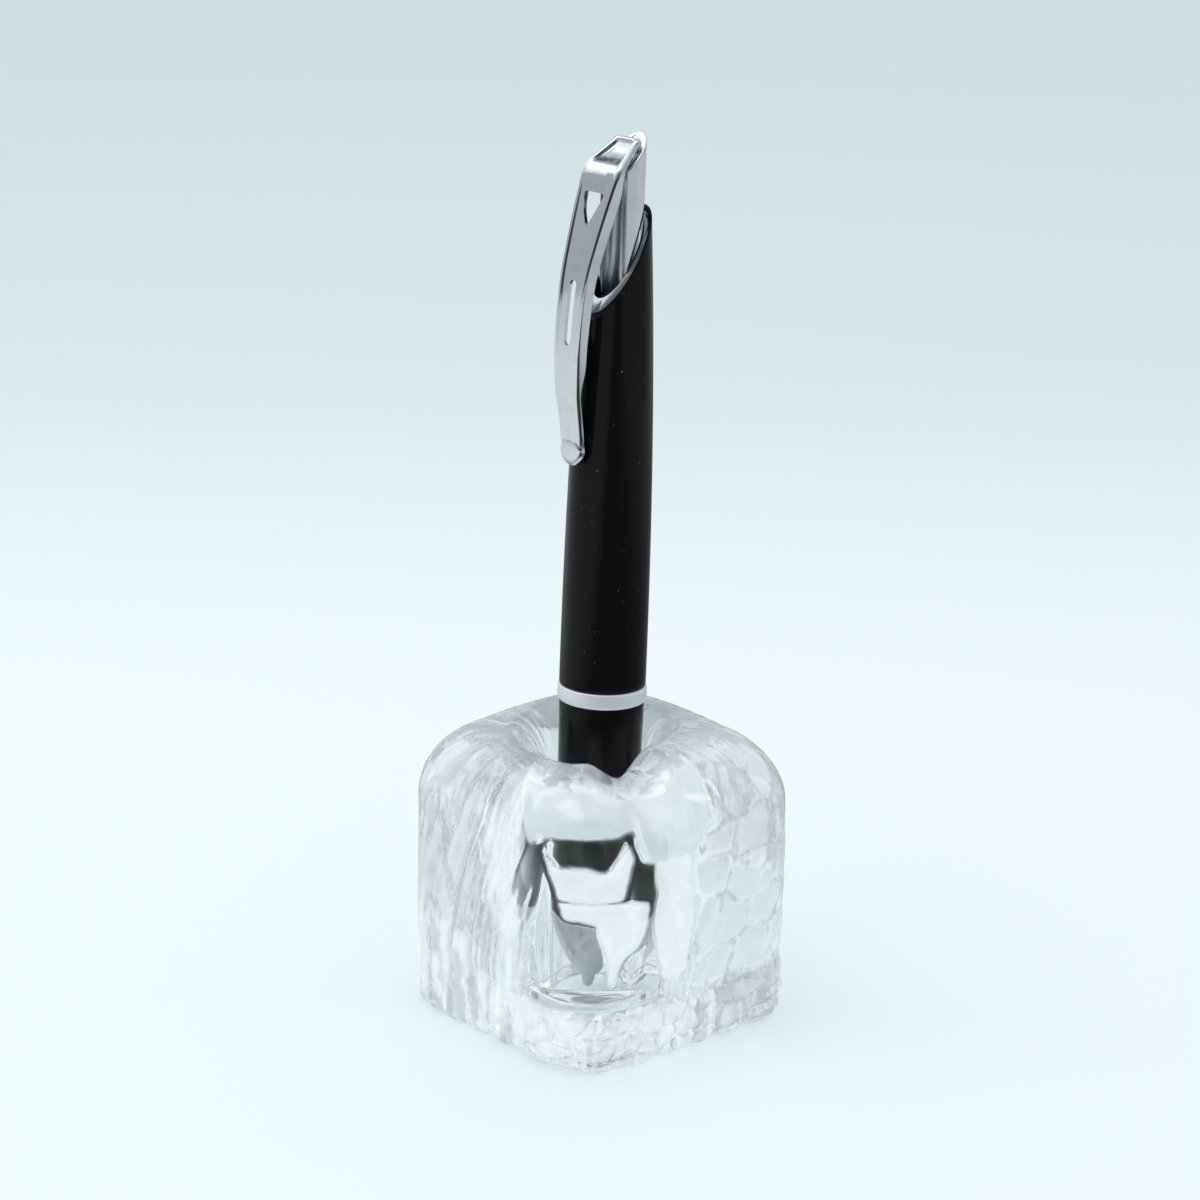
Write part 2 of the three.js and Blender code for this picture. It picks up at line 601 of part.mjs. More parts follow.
function clipStations() {
  const plain = CLIP_THICKNESS + 0.12;
  const station = (reach, height, width, flange, panel) => ({ reach, height, width, flange, panel });
  const fall = (share) => lerp(shoulderHeight, padHeight, share);
  const climb = (share) => lerp(shoulderHeight, clipTop, share);
  return [
    station(rootReach, clipTop - 6, CLIP_ROOT_WIDTH, plain, 0),
    station(rootReach, clipTop - 1.3, CLIP_ROOT_WIDTH, plain, 0),
    station(rootReach + 0.55, climb(0.94), CLIP_ROOT_WIDTH * 1.25, plain, 0),
    station(-0.7, clipTop, CLIP_TONGUE_WIDTH * 0.97, plain, 0.05),
    station(0.2, climb(0.83), CLIP_TONGUE_WIDTH, plain + 0.2, CLIP_TRAY_DEPTH),
    station(1.9, climb(0.45), (CLIP_TONGUE_WIDTH + CLIP_SHOULDER_WIDTH) / 2, plain + 0.2, CLIP_TRAY_DEPTH),
    station(3.4, climb(0.1), CLIP_SHOULDER_WIDTH * 0.97, plain + 0.4, 0.1),
    station(4.1, fall(0.025), CLIP_SHOULDER_WIDTH, CLIP_FLANGE * 0.7, 0),
    station(5.0, fall(0.09), CLIP_SHOULDER_WIDTH * 0.96, CLIP_FLANGE, CLIP_PANEL_DEPTH * 0.7),
    station(6.8, fall(0.24), lerp(CLIP_SHOULDER_WIDTH, CLIP_MID_WIDTH, 0.6), CLIP_FLANGE, CLIP_PANEL_DEPTH),
    station(CLIP_REACH - 0.75, fall(0.39), CLIP_MID_WIDTH, CLIP_FLANGE, CLIP_PANEL_DEPTH),
    station(CLIP_REACH, fall(0.6), CLIP_MID_WIDTH * 0.95, CLIP_FLANGE * 0.9, CLIP_PANEL_DEPTH),
    station(CLIP_REACH - 0.05, fall(0.7), CLIP_MID_WIDTH * 0.92, CLIP_FLANGE * 0.8, CLIP_PANEL_DEPTH * 0.6),
    station(CLIP_REACH - 0.3, fall(0.79), CLIP_MID_WIDTH * 0.88, plain, 0),
    station(CLIP_REACH - 0.95, fall(0.885), CLIP_END_WIDTH * 1.05, plain, 0),
    station(padReach + PAD_HALF_THICKNESS * 0.6, fall(0.985), CLIP_END_WIDTH * 0.95, plain, 0),
    station(padReach + PAD_HALF_THICKNESS * 0.3, fall(1.02), CLIP_END_WIDTH * 0.6, plain, 0),
  ];
}

// One cross section of the clip, in width and depth below the outer face
function clipSection({ width, flange, panel }) {
  const half = width / 2;
  const bevel = 0.3;
  const sunk = Math.max(panel, 0.001);
  const crown = 0.12 * (1 - Math.min(1, panel / CLIP_PANEL_DEPTH));
  const side = [
    [half - CLIP_THICKNESS, flange],
    [half - 0.1, flange],
    [half, flange - 0.1],
    [half, bevel],
    [half - bevel, 0],
    [half - CLIP_EDGE, 0.001],
    [half - CLIP_EDGE - 0.15, sunk],
    [0, sunk - crown],
  ];
  const mirrored = side.slice(0, -1).map(([x, depth]) => [-x, depth]).reverse();
  const inside = [
    [-half + CLIP_THICKNESS, CLIP_THICKNESS + sunk * 0.5],
    [half - CLIP_THICKNESS, CLIP_THICKNESS + sunk * 0.5],
  ];
  return [...side, ...mirrored, ...inside];
}

function clip() {
  const stations = clipStations();
  const along = (pick) => new THREE.CatmullRomCurve3(
    stations.map((station, i) => new THREE.Vector3(i, ...pick(station))),
    false,
    'centripetal',
  );
  const path = new THREE.CatmullRomCurve3(
    stations.map(({ reach, height }) => new THREE.Vector3(0, -reach, height)),
    false,
    'centripetal',
  );
  const shape = along(({ width, flange }) => [width, flange]);
  const relief = along(({ panel }) => [panel, 0]);
  const steps = (stations.length - 1) * 2;
  const rings = Array.from({ length: steps + 1 }, (_, i) => {
    const t = i / steps;
    const place = path.getPoint(t);
    const down = path.getTangent(t);
    const out = new THREE.Vector3(0, down.z, -down.y);
    const sizes = shape.getPoint(t);
    const section = clipSection({ width: sizes.y, flange: sizes.z, panel: Math.max(0, relief.getPoint(t).y) });
    return section.map(([x, depth]) => place.clone().addScaledVector(out, -depth).setX(x));
  });
  const centreOf = (ring) => ring.reduce((sum, point) => sum.add(point), new THREE.Vector3()).divideScalar(ring.length);
  const strap = solidOf(skin([[centreOf(rings[0])], ...rings, [centreOf(rings[rings.length - 1])]]));

  const pad = new THREE.SphereGeometry(1, 16, 12);
  pad.scale(CLIP_END_WIDTH / 2, PAD_HALF_THICKNESS, PAD_HALF_HEIGHT);
  pad.translate(0, -padReach, padHeight);

  // A three-cornered window under the shoulder and a long slot below it go right through the strap
  const windowTop = shoulderHeight - 3.6;
  const window = new THREE.Shape();
  window.moveTo(-WINDOW_TOP_WIDTH / 2, windowTop);
  window.lineTo(WINDOW_TOP_WIDTH / 2, windowTop);
  window.quadraticCurveTo(WINDOW_TOP_WIDTH * 0.22, windowTop - WINDOW_LENGTH * 0.7, 0, windowTop - WINDOW_LENGTH);
  window.quadraticCurveTo(-WINDOW_TOP_WIDTH * 0.42, windowTop - WINDOW_LENGTH * 0.7, -WINDOW_TOP_WIDTH / 2, windowTop);
  const slotTop = lerp(shoulderHeight, padHeight, 0.39);
  const slot = new THREE.Shape();
  slot.absarc(0, slotTop - SLOT_WIDTH / 2, SLOT_WIDTH / 2, 0, Math.PI);
  slot.absarc(0, slotTop - SLOT_LENGTH + SLOT_WIDTH / 2, SLOT_WIDTH / 2, Math.PI, 2 * Math.PI);
  const cutThrough = (outline) => {
    const cutter = new THREE.ExtrudeGeometry(outline, { depth: 2 * CLIP_REACH, bevelEnabled: false, curveSegments: 6 });
    return solidOf(cutter.rotateX(Math.PI / 2));
  };
  return geometryOf(strap.add(solidOf(pad)).subtract(cutThrough(window)).subtract(cutThrough(slot)));
}

// Refill: ball, tip, tube and crown
function refillBall() {
  return new THREE.SphereGeometry(BALL_RADIUS, 12, 8).translate(0, 0, BALL_RADIUS);
}

const tipShoulder = TIP_LENGTH + REFILL_RADIUS - TIP_RADIUS;
const tubeBore = REFILL_RADIUS - REFILL_WALL;

function refillTip() {
  const socket = BALL_RADIUS + POINT_FIT;
  const socketTop = 2 * BALL_RADIUS + POINT_FIT;
  const lip = BALL_RADIUS * 0.8;
  return revolve([
    [0, socketTop],
    [socket, socketTop],
    [socket, lip],
    [socket + 0.1, lip],
    [TIP_RADIUS, lip + 1.8],
    [TIP_RADIUS, TIP_LENGTH],
    [REFILL_RADIUS, tipShoulder],
    [REFILL_RADIUS, tipShoulder + 1],
    [tubeBore - FIT, tipShoulder + 1],
    [tubeBore - FIT, tipShoulder + 4],
    [0, tipShoulder + 4],
  ], INNER_STEPS);
}

function refillTube() {
  return revolve(tubeProfile(REFILL_RADIUS, tubeBore, tipShoulder + 1 + SEAM, crownFoot - SEAM), INNER_STEPS);
}

function refillCrown() {
  return revolve([
    [0, crownFoot - 3],
    [tubeBore - FIT, crownFoot - 3],
    [tubeBore - FIT, crownFoot],
    [REFILL_RADIUS, crownFoot],
    [REFILL_RADIUS, crownFoot + CROWN_LENGTH / 2],
    [tubeBore - 2 * FIT, crownFoot + CROWN_LENGTH / 2],
    [tubeBore - 3 * FIT, crownFoot + CROWN_LENGTH],
    [0, crownFoot + CROWN_LENGTH],
  ], INNER_STEPS);
}

// A coil about +Z of one unbroken wire
class Helix extends THREE.Curve {
  constructor(radius, low, high, turns, start = 0) {
    super();
    Object.assign(this, { radius, low, high, turns, start });
  }

  getPoint(t, target = new THREE.Vector3()) {
    const angle = this.start + t * this.turns * 2 * Math.PI;
    return target.set(this.radius * Math.cos(angle), this.radius * Math.sin(angle), lerp(this.low, this.high, t));
  }
}

function polygon(sides, radius) {
  const corners = Array.from({ length: sides }, (_, i) => {
    const turn = (i / sides) * 2 * Math.PI;
    return new THREE.Vector2(radius * Math.cos(turn), radius * Math.sin(turn));
  });
  return new THREE.Shape(corners);
}

function returnSpring() {
  const low = noseStart + SPRING_SEAT_DEPTH + SPRING_WIRE_RADIUS + SEAM;
  const high = TIP_LENGTH - SPRING_WIRE_RADIUS - SEAM;
  const radius = TIP_RADIUS + FIT + SPRING_WIRE_RADIUS;
  const gap = (high - low) / SPRING_TURNS - 2 * SPRING_WIRE_RADIUS;
  console.log(`return spring: least gap between turns ${gap.toFixed(2)} mm`);
  return new THREE.ExtrudeGeometry(polygon(5, SPRING_WIRE_RADIUS), {
    steps: SPRING_TURNS * 8,
    extrudePath: new Helix(radius, low, high, SPRING_TURNS),
  });
}

// Twist mechanism: the lug rides in a straight slot of the housing and a helical slot of the cam
function mechanismHousing() {
  const inner = HOUSING_RADIUS - HOUSING_WALL;
  const foot = lowerEnd - REAR_BUSH_LENGTH - 1;
  const tube = solidOf(revolve(tubeProfile(HOUSING_RADIUS, inner, foot, housingTop), INNER_STEPS));
  const half = LUG_RADIUS + FIT;
  const slot = new THREE.Shape();
  slot.absarc(0, lugHeight, half, Math.PI, 2 * Math.PI);
  slot.absarc(0, lugHeight + STROKE, half, 0, Math.PI);
  const cutter = new THREE.ExtrudeGeometry(slot, { depth: 2 * HOUSING_RADIUS, bevelEnabled: false, curveSegments: 6 });
  cutter.rotateX(Math.PI / 2).rotateZ(Math.PI / 2);
  return geometryOf(tube.subtract(solidOf(cutter)));
}

function camCarrier() {
  const radius = HOUSING_RADIUS - HOUSING_WALL - FIT;
  const socket = tubeBore - FIT;
  const socketTop = carrierFoot + CROWN_LENGTH / 2 + SEAM;
  const plunger = revolve([
    [0, socketTop],
    [socket, socketTop],
    [socket, carrierFoot],
    [radius - 0.3, carrierFoot],
    [radius, carrierFoot + 0.3],
    [radius, carrierFoot + CARRIER_LENGTH - 0.3],
    [radius - 0.3, carrierFoot + CARRIER_LENGTH],
    [0, carrierFoot + CARRIER_LENGTH],
  ], INNER_STEPS);
  const lug = new THREE.CylinderGeometry(LUG_RADIUS, LUG_RADIUS, camOuter, 12);
  lug.rotateZ(-Math.PI / 2).translate(camOuter / 2, 0, lugHeight);
  return geometryOf(solidOf(plunger).add(solidOf(lug)));
}

function twistCam() {
  const foot = lugHeight - CAM_MARGIN;
  const sleeve = revolve([
    [camInner, foot],
    [camOuter, foot],
    [camOuter, camTop],
    [CAM_STEM_RADIUS, camTop],
    [CAM_STEM_RADIUS, stemTop - 0.3],
    [CAM_STEM_RADIUS - 0.3, stemTop],
    [0, stemTop],
    [0, camTop - CAM_WALL],
    [camInner, camTop - CAM_WALL],
    [camInner, foot],
  ], INNER_STEPS);
  const groove = LUG_RADIUS + FIT;
  const middle = (camInner + camOuter) / 2;
  const spare = groove / middle / (2 * Math.PI);
  const turns = TWIST_DEGREES / 360;
  const rise = STROKE / turns;
  const path = new Helix(
    middle,
    lugHeight - rise * spare,
    lugHeight + rise * (turns + spare),
    -(turns + 2 * spare),
    2 * Math.PI * spare,
  );
  const cutter = new THREE.ExtrudeGeometry(polygon(10, groove), { steps: 22, extrudePath: path });
  return geometryOf(solidOf(sleeve).subtract(solidOf(cutter)));
}

function drivePlug() {
  const foot = camTop + SEAM;
  const outerAt = (height) => upperRadius(height) - BARREL_WALL - FIT;
  return revolve([
    [CAM_STEM_RADIUS + FIT, foot],
    [outerAt(foot), foot],
    [outerAt(plugTop), plugTop],
    [TUBE_RADIUS + FIT, plugTop],
    [TUBE_RADIUS + FIT, tubeFoot - FIT],
    [0, tubeFoot - FIT],
    [0, stemTop + FIT],
    [CAM_STEM_RADIUS + FIT, stemTop + FIT],
    [CAM_STEM_RADIUS + FIT, foot],
  ], INNER_STEPS);
}

function mesh(name, geometry, material) {
  const piece = new THREE.Mesh(geometry, material);
  piece.name = name;
  return piece;
}

// The pen leans in the bore about its ball point
const pen = new THREE.Group();
pen.rotation.z = toRadians(CLIP_TURN_DEGREES);
pen.add(
  mesh('refill_ball', refillBall(), chrome),
  mesh('refill_tip', refillTip(), silver),
  mesh('refill_tube', refillTube(), brass),
  mesh('refill_crown', refillCrown(), greyPlastic),
  mesh('return_spring', returnSpring(), springSteel),
  mesh('nose_cone', noseCone(), silver),
  mesh('front_bush', frontBush(), brass),
  mesh('lower_barrel', lowerBarrel(), blackLacquer),
  mesh('rear_bush', rearBush(), brass),
  mesh('mechanism_housing', mechanismHousing(), brass),
  mesh('cam_carrier', camCarrier(), whitePlastic),
  mesh('twist_cam', twistCam(), whitePlastic),
  mesh('drive_plug', drivePlug(), greyPlastic),
  mesh('centre_ring', centreRing(), satinChrome),
  mesh('upper_barrel', upperBarrel(), blackLacquer),
  mesh('cap_tube', capTube(), chrome),
  mesh('clip', clip(), chrome),
);

const block = glassBlock();
const holder = mesh('glass_block', block.geometry, glass);
holder.position.copy(block.offset);

const leaning = new THREE.Group();
leaning.add(pen);
leaning.position.set(
  block.offset.x + leanDirection.x * axisAtFloor,
  block.offset.y + leanDirection.y * axisAtFloor,
  pointHeight,
);
leaning.quaternion.setFromAxisAngle(
  new THREE.Vector3(-leanDirection.y, leanDirection.x, 0),
  toRadians(LEAN_DEGREES),
);

const group = new THREE.Group();
group.add(holder, leaning);

export default group;
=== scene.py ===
"""Dresses the pen holder: a clear cast-glass desk block with a black and chrome twist pen in its bore.

Blender 4.5, metres, +Z up. Sizes in the property groups are millimetres of the real object. The pen's own
frame has its origin at the ball point, +Z along the pen and -Y towards the clip.
"""

import json
import math

import bmesh
import bpy
import numpy as np
from bpy.props import FloatProperty, FloatVectorProperty, PointerProperty
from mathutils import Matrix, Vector


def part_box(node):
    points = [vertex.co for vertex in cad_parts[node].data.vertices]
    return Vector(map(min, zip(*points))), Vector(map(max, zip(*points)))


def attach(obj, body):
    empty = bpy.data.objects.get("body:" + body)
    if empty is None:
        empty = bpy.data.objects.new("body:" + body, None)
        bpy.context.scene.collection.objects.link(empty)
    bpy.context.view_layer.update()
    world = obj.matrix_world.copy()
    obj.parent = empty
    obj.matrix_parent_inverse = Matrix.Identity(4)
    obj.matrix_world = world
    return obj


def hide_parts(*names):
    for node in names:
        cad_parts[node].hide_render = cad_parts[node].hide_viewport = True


bl_info = {
    "name": "Glass Pen Holder",
    "version": (1, 0, 0),
    "blender": (4, 5, 0),
    "location": "3D View > Sidebar > Pen Holder",
    "description": "Builds a cast-glass pen holder with its twist pen, and a plain studio for it",
    "category": "Add Mesh",
}

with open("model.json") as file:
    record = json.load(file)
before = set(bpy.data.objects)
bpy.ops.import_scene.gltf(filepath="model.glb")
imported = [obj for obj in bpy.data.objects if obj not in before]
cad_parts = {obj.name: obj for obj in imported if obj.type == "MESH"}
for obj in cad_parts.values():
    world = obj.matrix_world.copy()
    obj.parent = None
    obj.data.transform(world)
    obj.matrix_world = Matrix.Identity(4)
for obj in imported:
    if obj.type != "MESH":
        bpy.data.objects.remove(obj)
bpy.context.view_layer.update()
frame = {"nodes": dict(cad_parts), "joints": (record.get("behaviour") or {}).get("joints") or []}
MM = 0.001

# The camera looks at the front corner from this bearing, and the bore lies a little to its left
VIEW_BEARING = math.radians(49)


# The pen's frame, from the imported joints

def joint_named(name):
    return next(joint for joint in frame["joints"] if joint["name"] == name)


def pen_frame():
    """The ball point and the three axes of the pen, as numpy rows."""
    along = Vector(joint_named("pen_lift")["axis"]).normalized()
    across = -Vector(joint_named("clip_flex")["axis"]).normalized()
    across = (across - along * across.dot(along)).normalized()
    back = along.cross(across)
    low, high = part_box("refill_ball")
    point = (low + high) / 2 - along * (high.z - low.z) / 2
    return np.array(point), np.array([across, back, along])


PEN_POINT, PEN_AXES = pen_frame()


def pen_to_world(points):
    return np.asarray(points) @ PEN_AXES + PEN_POINT


def pen_span(node):
    """Lowest and highest place of a CAD node along the pen, and its largest radius, in metres."""
    corners = np.array([vertex.co for vertex in frame["nodes"][node].data.vertices])
    local = (corners - PEN_POINT) @ PEN_AXES.T
    return local[:, 2].min(), local[:, 2].max(), np.hypot(local[:, 0], local[:, 1]).max()


# Property groups: the sizes and colours that a user would change

def millimetres(label, text, value):
    return FloatProperty(name=label, description=f"{text}, mm", default=value)


def degrees(label, text, value):
    return FloatProperty(name=label, description=text, default=math.radians(value), subtype="ANGLE")


def colour(label, text, value):
    return FloatVectorProperty(
        name=label, description=text, default=value, subtype="COLOR", size=3, min=0, max=1)


class BlockSizes(bpy.types.PropertyGroup):
    side: millimetres("Side", "Width of the block across its flats", 44.4)
    height: millimetres("Height", "Height of the block at its back rim", 44.6)
    corner: millimetres("Corner radius", "Radius of the upright corners", 9.0)
    base_fillet: millimetres("Base fillet", "Rounding of the base edge", 2.2)
    shoulder: millimetres("Shoulder", "Height of the rolled shoulder", 11.0)
    mouth: millimetres("Mouth radius", "Radius of the rim of the mouth", 13.2)
    funnel: millimetres("Funnel depth", "Depth of the funnel from the rim to the bore", 11.0)
    bore: millimetres("Bore radius", "Radius of the blind bore", 7.28)
    floor: millimetres("Bore floor", "Thickness of glass under the bore", 5.0)
    floor_fillet: millimetres("Bore fillet", "Rounding at the foot of the bore", 2.0)
    shift: millimetres("Bore shift", "How far the bore lies off the middle", 1.0)
    window: millimetres("Window radius", "Radius of the smooth window in the front corner", 24.9)
    window_foot: millimetres("Window foot", "Height of the ledge under the window", 11.0)
    window_head: millimetres("Window head", "Height of the lobe over the window", 35.0)


class PenSizes(bpy.types.PropertyGroup):
    wall: millimetres("Barrel wall", "Wall of the barrels", 0.85)
    taper: millimetres("Taper", "How much radius the upper barrel loses", 2.36)
    taper_power: FloatProperty(name="Taper power", description="How late the taper sets in", default=2.2)
    upper_length: millimetres("Upper length", "Length of the upper barrel before its scoop", 76.0)
    scoop_height: millimetres("Scoop height", "Height of the scoop on the axis above the ring", 63.3)
    scoop_slope: degrees("Scoop slope", "Slope of the scoop", 58.5)
    lip: millimetres("Scoop lip", "Width of black that shows round the scoop's lining", 0.5)
    tube_wall: millimetres("Tube wall", "Wall of the chrome tube", 0.8)
    tube_open: degrees("Tube opening", "Half the opening of the chrome tube", 65)


class ClipSizes(bpy.types.PropertyGroup):
    thickness: millimetres("Thickness", "Thickness of the sheet", 0.6)
    flange: millimetres("Flange", "Depth of the side flanges", 1.9)
    panel: millimetres("Panel depth", "Depth of the face between its raised edges", 0.25)
    tray: millimetres("Tray depth", "Depth of the slanted top between its edges", 0.55)
    edge: millimetres("Edge", "Width of the raised edges", 0.75)
    shoulder_width: millimetres("Shoulder width", "Width at the shoulder", 8.2)
    mid_width: millimetres("Middle width", "Width half way down", 6.2)
    end_width: millimetres("End width", "Width at the pad", 4.8)
    tongue_width: millimetres("Tongue width", "Width at the top", 5.4)
    root_width: millimetres("Root width", "Width inside the tube", 2.2)
    reach: millimetres("Reach", "Furthest distance from the pen's axis", 9.0)
    window_width: millimetres("Window width", "Width of the three-cornered window", 4.6)
    window_length: millimetres("Window length", "Length of the three-cornered window", 4.9)
    slot_width: millimetres("Slot width", "Width of the long slot", 1.5)
    slot_length: millimetres("Slot length", "Length of the long slot", 9.4)


class FinishColours(bpy.types.PropertyGroup):
    lacquer: colour("Lacquer", "Black gloss lacquer of the barrels", (0.005, 0.0045, 0.005))
    chrome: colour("Chrome", "Bright chrome of the tube and clip", (0.80, 0.82, 0.84))
    satin: colour("Satin chrome", "Satin chrome of the ring", (0.90, 0.95, 0.97))
    silver: colour("Silver", "Plated nose cone", (0.52, 0.53, 0.54))
    floor_near: colour("Floor", "Floor round the object", (0.876, 0.970, 0.987))
    # Far behind the object the floor is painted darker, standing in for the light that falls off there
    floor_far: colour("Backdrop", "Floor far behind the object", (0.742, 0.850, 0.877))


# Shader maths as expressions

def maths(operation, reflected=False):
    """A method of Value that adds a Math node; reflected takes its operands the other way round."""
    def method(self, other):
        operands = (other, self) if reflected else (self, other)
        return self.finish.value("ShaderNodeMath", 0, {"operation": operation}, dict(enumerate(operands)))
    return method


class Value:
    """One output of a node, so that arithmetic on it adds Math nodes."""

    def __init__(self, finish, socket):
        self.finish = finish
        self.socket = socket

    __add__ = maths("ADD")
    __radd__ = maths("ADD", True)
    __sub__ = maths("SUBTRACT")
    __rsub__ = maths("SUBTRACT", True)
    __mul__ = maths("MULTIPLY")
    __rmul__ = maths("MULTIPLY", True)

    def smooth(self, low, high):
        """0 below low, 1 above high, and smooth between."""
        inputs = {"Value": self, "From Min": low, "From Max": high}
        return self.finish.value("ShaderNodeMapRange", "Result", {"interpolation_type": "SMOOTHSTEP"}, inputs)


def rgba(shade):
    return (*shade, 1.0)


def darker(shade):
    return tuple(0.8 * part for part in shade)


class Finish:
    """A material, or the world, and the nodes in it."""

    def __init__(self, owner):
        owner.use_nodes = True
        self.owner = owner
        self.tree = owner.node_tree
        self.tree.nodes.clear()

    def feed(self, place, value):
        """Links a Value or an output to a socket, or sets the socket to a number or colour."""
        if isinstance(value, Value):
            value = value.socket
        if isinstance(value, bpy.types.NodeSocket):
            self.tree.links.new(value, place)
        else:
            place.default_value = value

    def node(self, kind, settings=None, inputs=None):
        """Adds a node of any type: its settings first, then the values or links of its sockets."""
        made = self.tree.nodes.new(kind)
        for name, value in (settings or {}).items():
            setattr(made, name, value)
        for name, value in (inputs or {}).items():
            self.feed(made.inputs[name], value)
        return made

    def value(self, kind, output, settings=None, inputs=None):
        return Value(self, self.node(kind, settings, inputs).outputs[output])

    def level(self, name):
        """A level stored at the points of the mesh."""
        return self.value("ShaderNodeAttribute", "Fac", {"attribute_name": name})

    def ray(self, kind):
        """1 for light paths of a kind, such as Glossy, and 0 for all others."""
        return self.value("ShaderNodeLightPath", f"Is {kind} Ray")

    def vectors(self, operation, output, *vectors):
        return self.value("ShaderNodeVectorMath", output, {"operation": operation}, dict(enumerate(vectors)))

    def noise(self, scale, detail=3.0, roughness=0.5, stretch=None):
        """Noise in the piece's own frame, which turns and moves with it."""
        where = self.node("ShaderNodeTexCoord").outputs["Object"]
        if stretch is not None:
            where = self.vectors("MULTIPLY", "Vector", where, stretch)
        inputs = {"Vector": where, "Scale": scale, "Detail": detail, "Roughness": roughness}
        return self.value("ShaderNodeTexNoise", "Fac", None, inputs)

    def mix(self, factor, first, second):
        """From the first colour at 0 to the second at 1."""
        made = self.node("ShaderNodeMix", {"data_type": "RGBA"}, {"Factor": factor})
        for name, shade in (("A", first), ("B", second)):
            place = next(socket for socket in made.inputs if socket.name == name and socket.type == "RGBA")
            self.feed(place, shade if isinstance(shade, bpy.types.NodeSocket) else rgba(shade))
        return next(socket for socket in made.outputs if socket.type == "RGBA")

    def bump(self, height, strength, distance=0.0001):
        inputs = {"Height": height, "Strength": strength, "Distance": distance}
        return self.node("ShaderNodeBump", None, inputs).outputs["Normal"]

    def principled(self, inputs):
        return self.node("ShaderNodeBsdfPrincipled", None, inputs).outputs["BSDF"]

    def shader_mix(self, factor, first, second):
        return self.node("ShaderNodeMixShader", None, {0: factor, 1: first, 2: second}).outputs[0]

    def surface(self, shader):
        self.node("ShaderNodeOutputMaterial", None, {"Surface": shader})
        return self.owner

    def opaque(self, inputs):
        return self.surface(self.principled(inputs))


def new_finish(name):
    return Finish(bpy.data.materials.new(name))


# Materials

GLASS_IOR = 1.5
PAINTED_PALE_BLUE = (0.94, 0.985, 0.99)


def clear_glass():
    """Clear glass with pale white painted in by the level stored at its points, in place of the light it
    refracts and reflects: first in wisps, then all over.
    """
    finish = new_finish("clear cast glass")
    painted_pale_light = finish.level("painted_pale_light")
    ripple = finish.noise(170.0, 1.0)
    seed_bubbles = finish.noise(1300.0, 2.0).smooth(0.72, 0.8)
    wrinkles = finish.noise(520.0, 2.0, stretch=(1.0, 1.0, 0.5)) * painted_pale_light.smooth(0.05, 0.3)
    glass = finish.principled({
        "Base Color": rgba((0.985, 0.995, 0.995)),
        "Roughness": 0.0,
        "IOR": GLASS_IOR,
        "Transmission Weight": 1.0,
        "Normal": finish.bump(ripple + seed_bubbles * 0.5 + wrinkles * 2.0, 0.08, 0.0005),
    })
    solid = painted_pale_light.smooth(0.74, 0.84)
    # Painted grey reflection where the painted level is high, as on the lobe; the runs, the curtain and the
    # painted highlights, at the top of the level, are painted white
    painted_grey_reflection = finish.mix(painted_pale_light.smooth(0.76, 0.84), PAINTED_PALE_BLUE, (0.81, 0.895, 0.91))
    # The painted pale surface: white over the clear glass, standing in for the light the glass refracts and
    # reflects
    painted_pale = finish.principled({
        "Base Color": finish.mix(painted_pale_light.smooth(0.87, 0.94), painted_grey_reflection, (0.95, 0.985, 0.99)),
        "Roughness": 0.1,
        "IOR": GLASS_IOR,
        "Normal": finish.bump(finish.noise(330.0, 2.0), 0.12, 0.0005),
    })
    cloud = finish.noise(420.0)
    wisps = finish.noise(230.0, 3.0, 0.55, stretch=(1.0, 1.0, 0.45)).smooth(0.43, 0.53)
    share = painted_pale_light * (solid * (0.88 + cloud * 0.2) + (1 - solid) * (0.55 + wisps * 0.6))
    cast = finish.shader_mix(share, glass, painted_pale)
    shadow = finish.node("ShaderNodeBsdfTransparent", None, {"Color": rgba((0.93, 0.95, 0.955))}).outputs[0]
    return finish.surface(finish.shader_mix(finish.ray("Shadow"), cast, shadow))


def black_lacquer(shade):
    finish = new_finish("black gloss lacquer")
    smudge = finish.noise(60.0, 4.0, 0.6)
    speck = finish.noise(2600.0, 1.0).smooth(0.77, 0.80)
    return finish.opaque({
        "Base Color": finish.mix(speck * 0.35, shade, (0.28, 0.28, 0.28)),
        "Roughness": 0.08 + smudge * 0.07,
        "IOR": 1.22,
        "Normal": finish.bump(finish.noise(900.0, 2.0), 0.02, 0.0002),
    })


def bright_chrome(shade, name="bright chrome"):
    """Chrome, duller where the level stored as inside is high and darkened there by painted shade, for the
    hollows of the tube and clip.
    """
    finish = new_finish(name)
    smudge = finish.noise(110.0, 5.0, 0.65)
    scratch = finish.noise(900.0, 2.0, stretch=(1.0, 1.0, 0.08))
    dull = finish.noise(380.0).smooth(0.45, 0.75)
    inside = finish.level("inside")
    mottled = finish.noise(900.0, 3.0, 0.6).smooth(0.35, 0.62)
    # Painted shade: the hollows darken towards near black, in mottled patches
    hollow = inside.smooth(0.3, 0.95) * (0.4 + mottled * 0.6)
    plated = finish.mix(dull * 0.25, shade, (0.55, 0.57, 0.59))
    return finish.opaque({
        "Base Color": finish.mix(hollow, plated, (0.07, 0.085, 0.095)),
        "Metallic": 1.0,
        "Roughness": 0.05 + smudge * 0.10 + inside * 0.35,
        "Normal": finish.bump(scratch * 0.5 + smudge * 0.5, 0.05, 0.0002),
    })


def satin_metal(shade, name, rough=0.24, lines=2400.0, metallic=1.0):
    finish = new_finish(name)
    cloud = finish.noise(180.0, 4.0)
    return finish.opaque({
        "Base Color": finish.mix(cloud * 0.3, shade, darker(shade)),
        "Metallic": metallic,
        "Roughness": rough + cloud * 0.12,
        "Normal": finish.bump(finish.noise(lines, 2.0, 0.6, stretch=(0.02, 0.02, 1.0)), 0.12),
    })


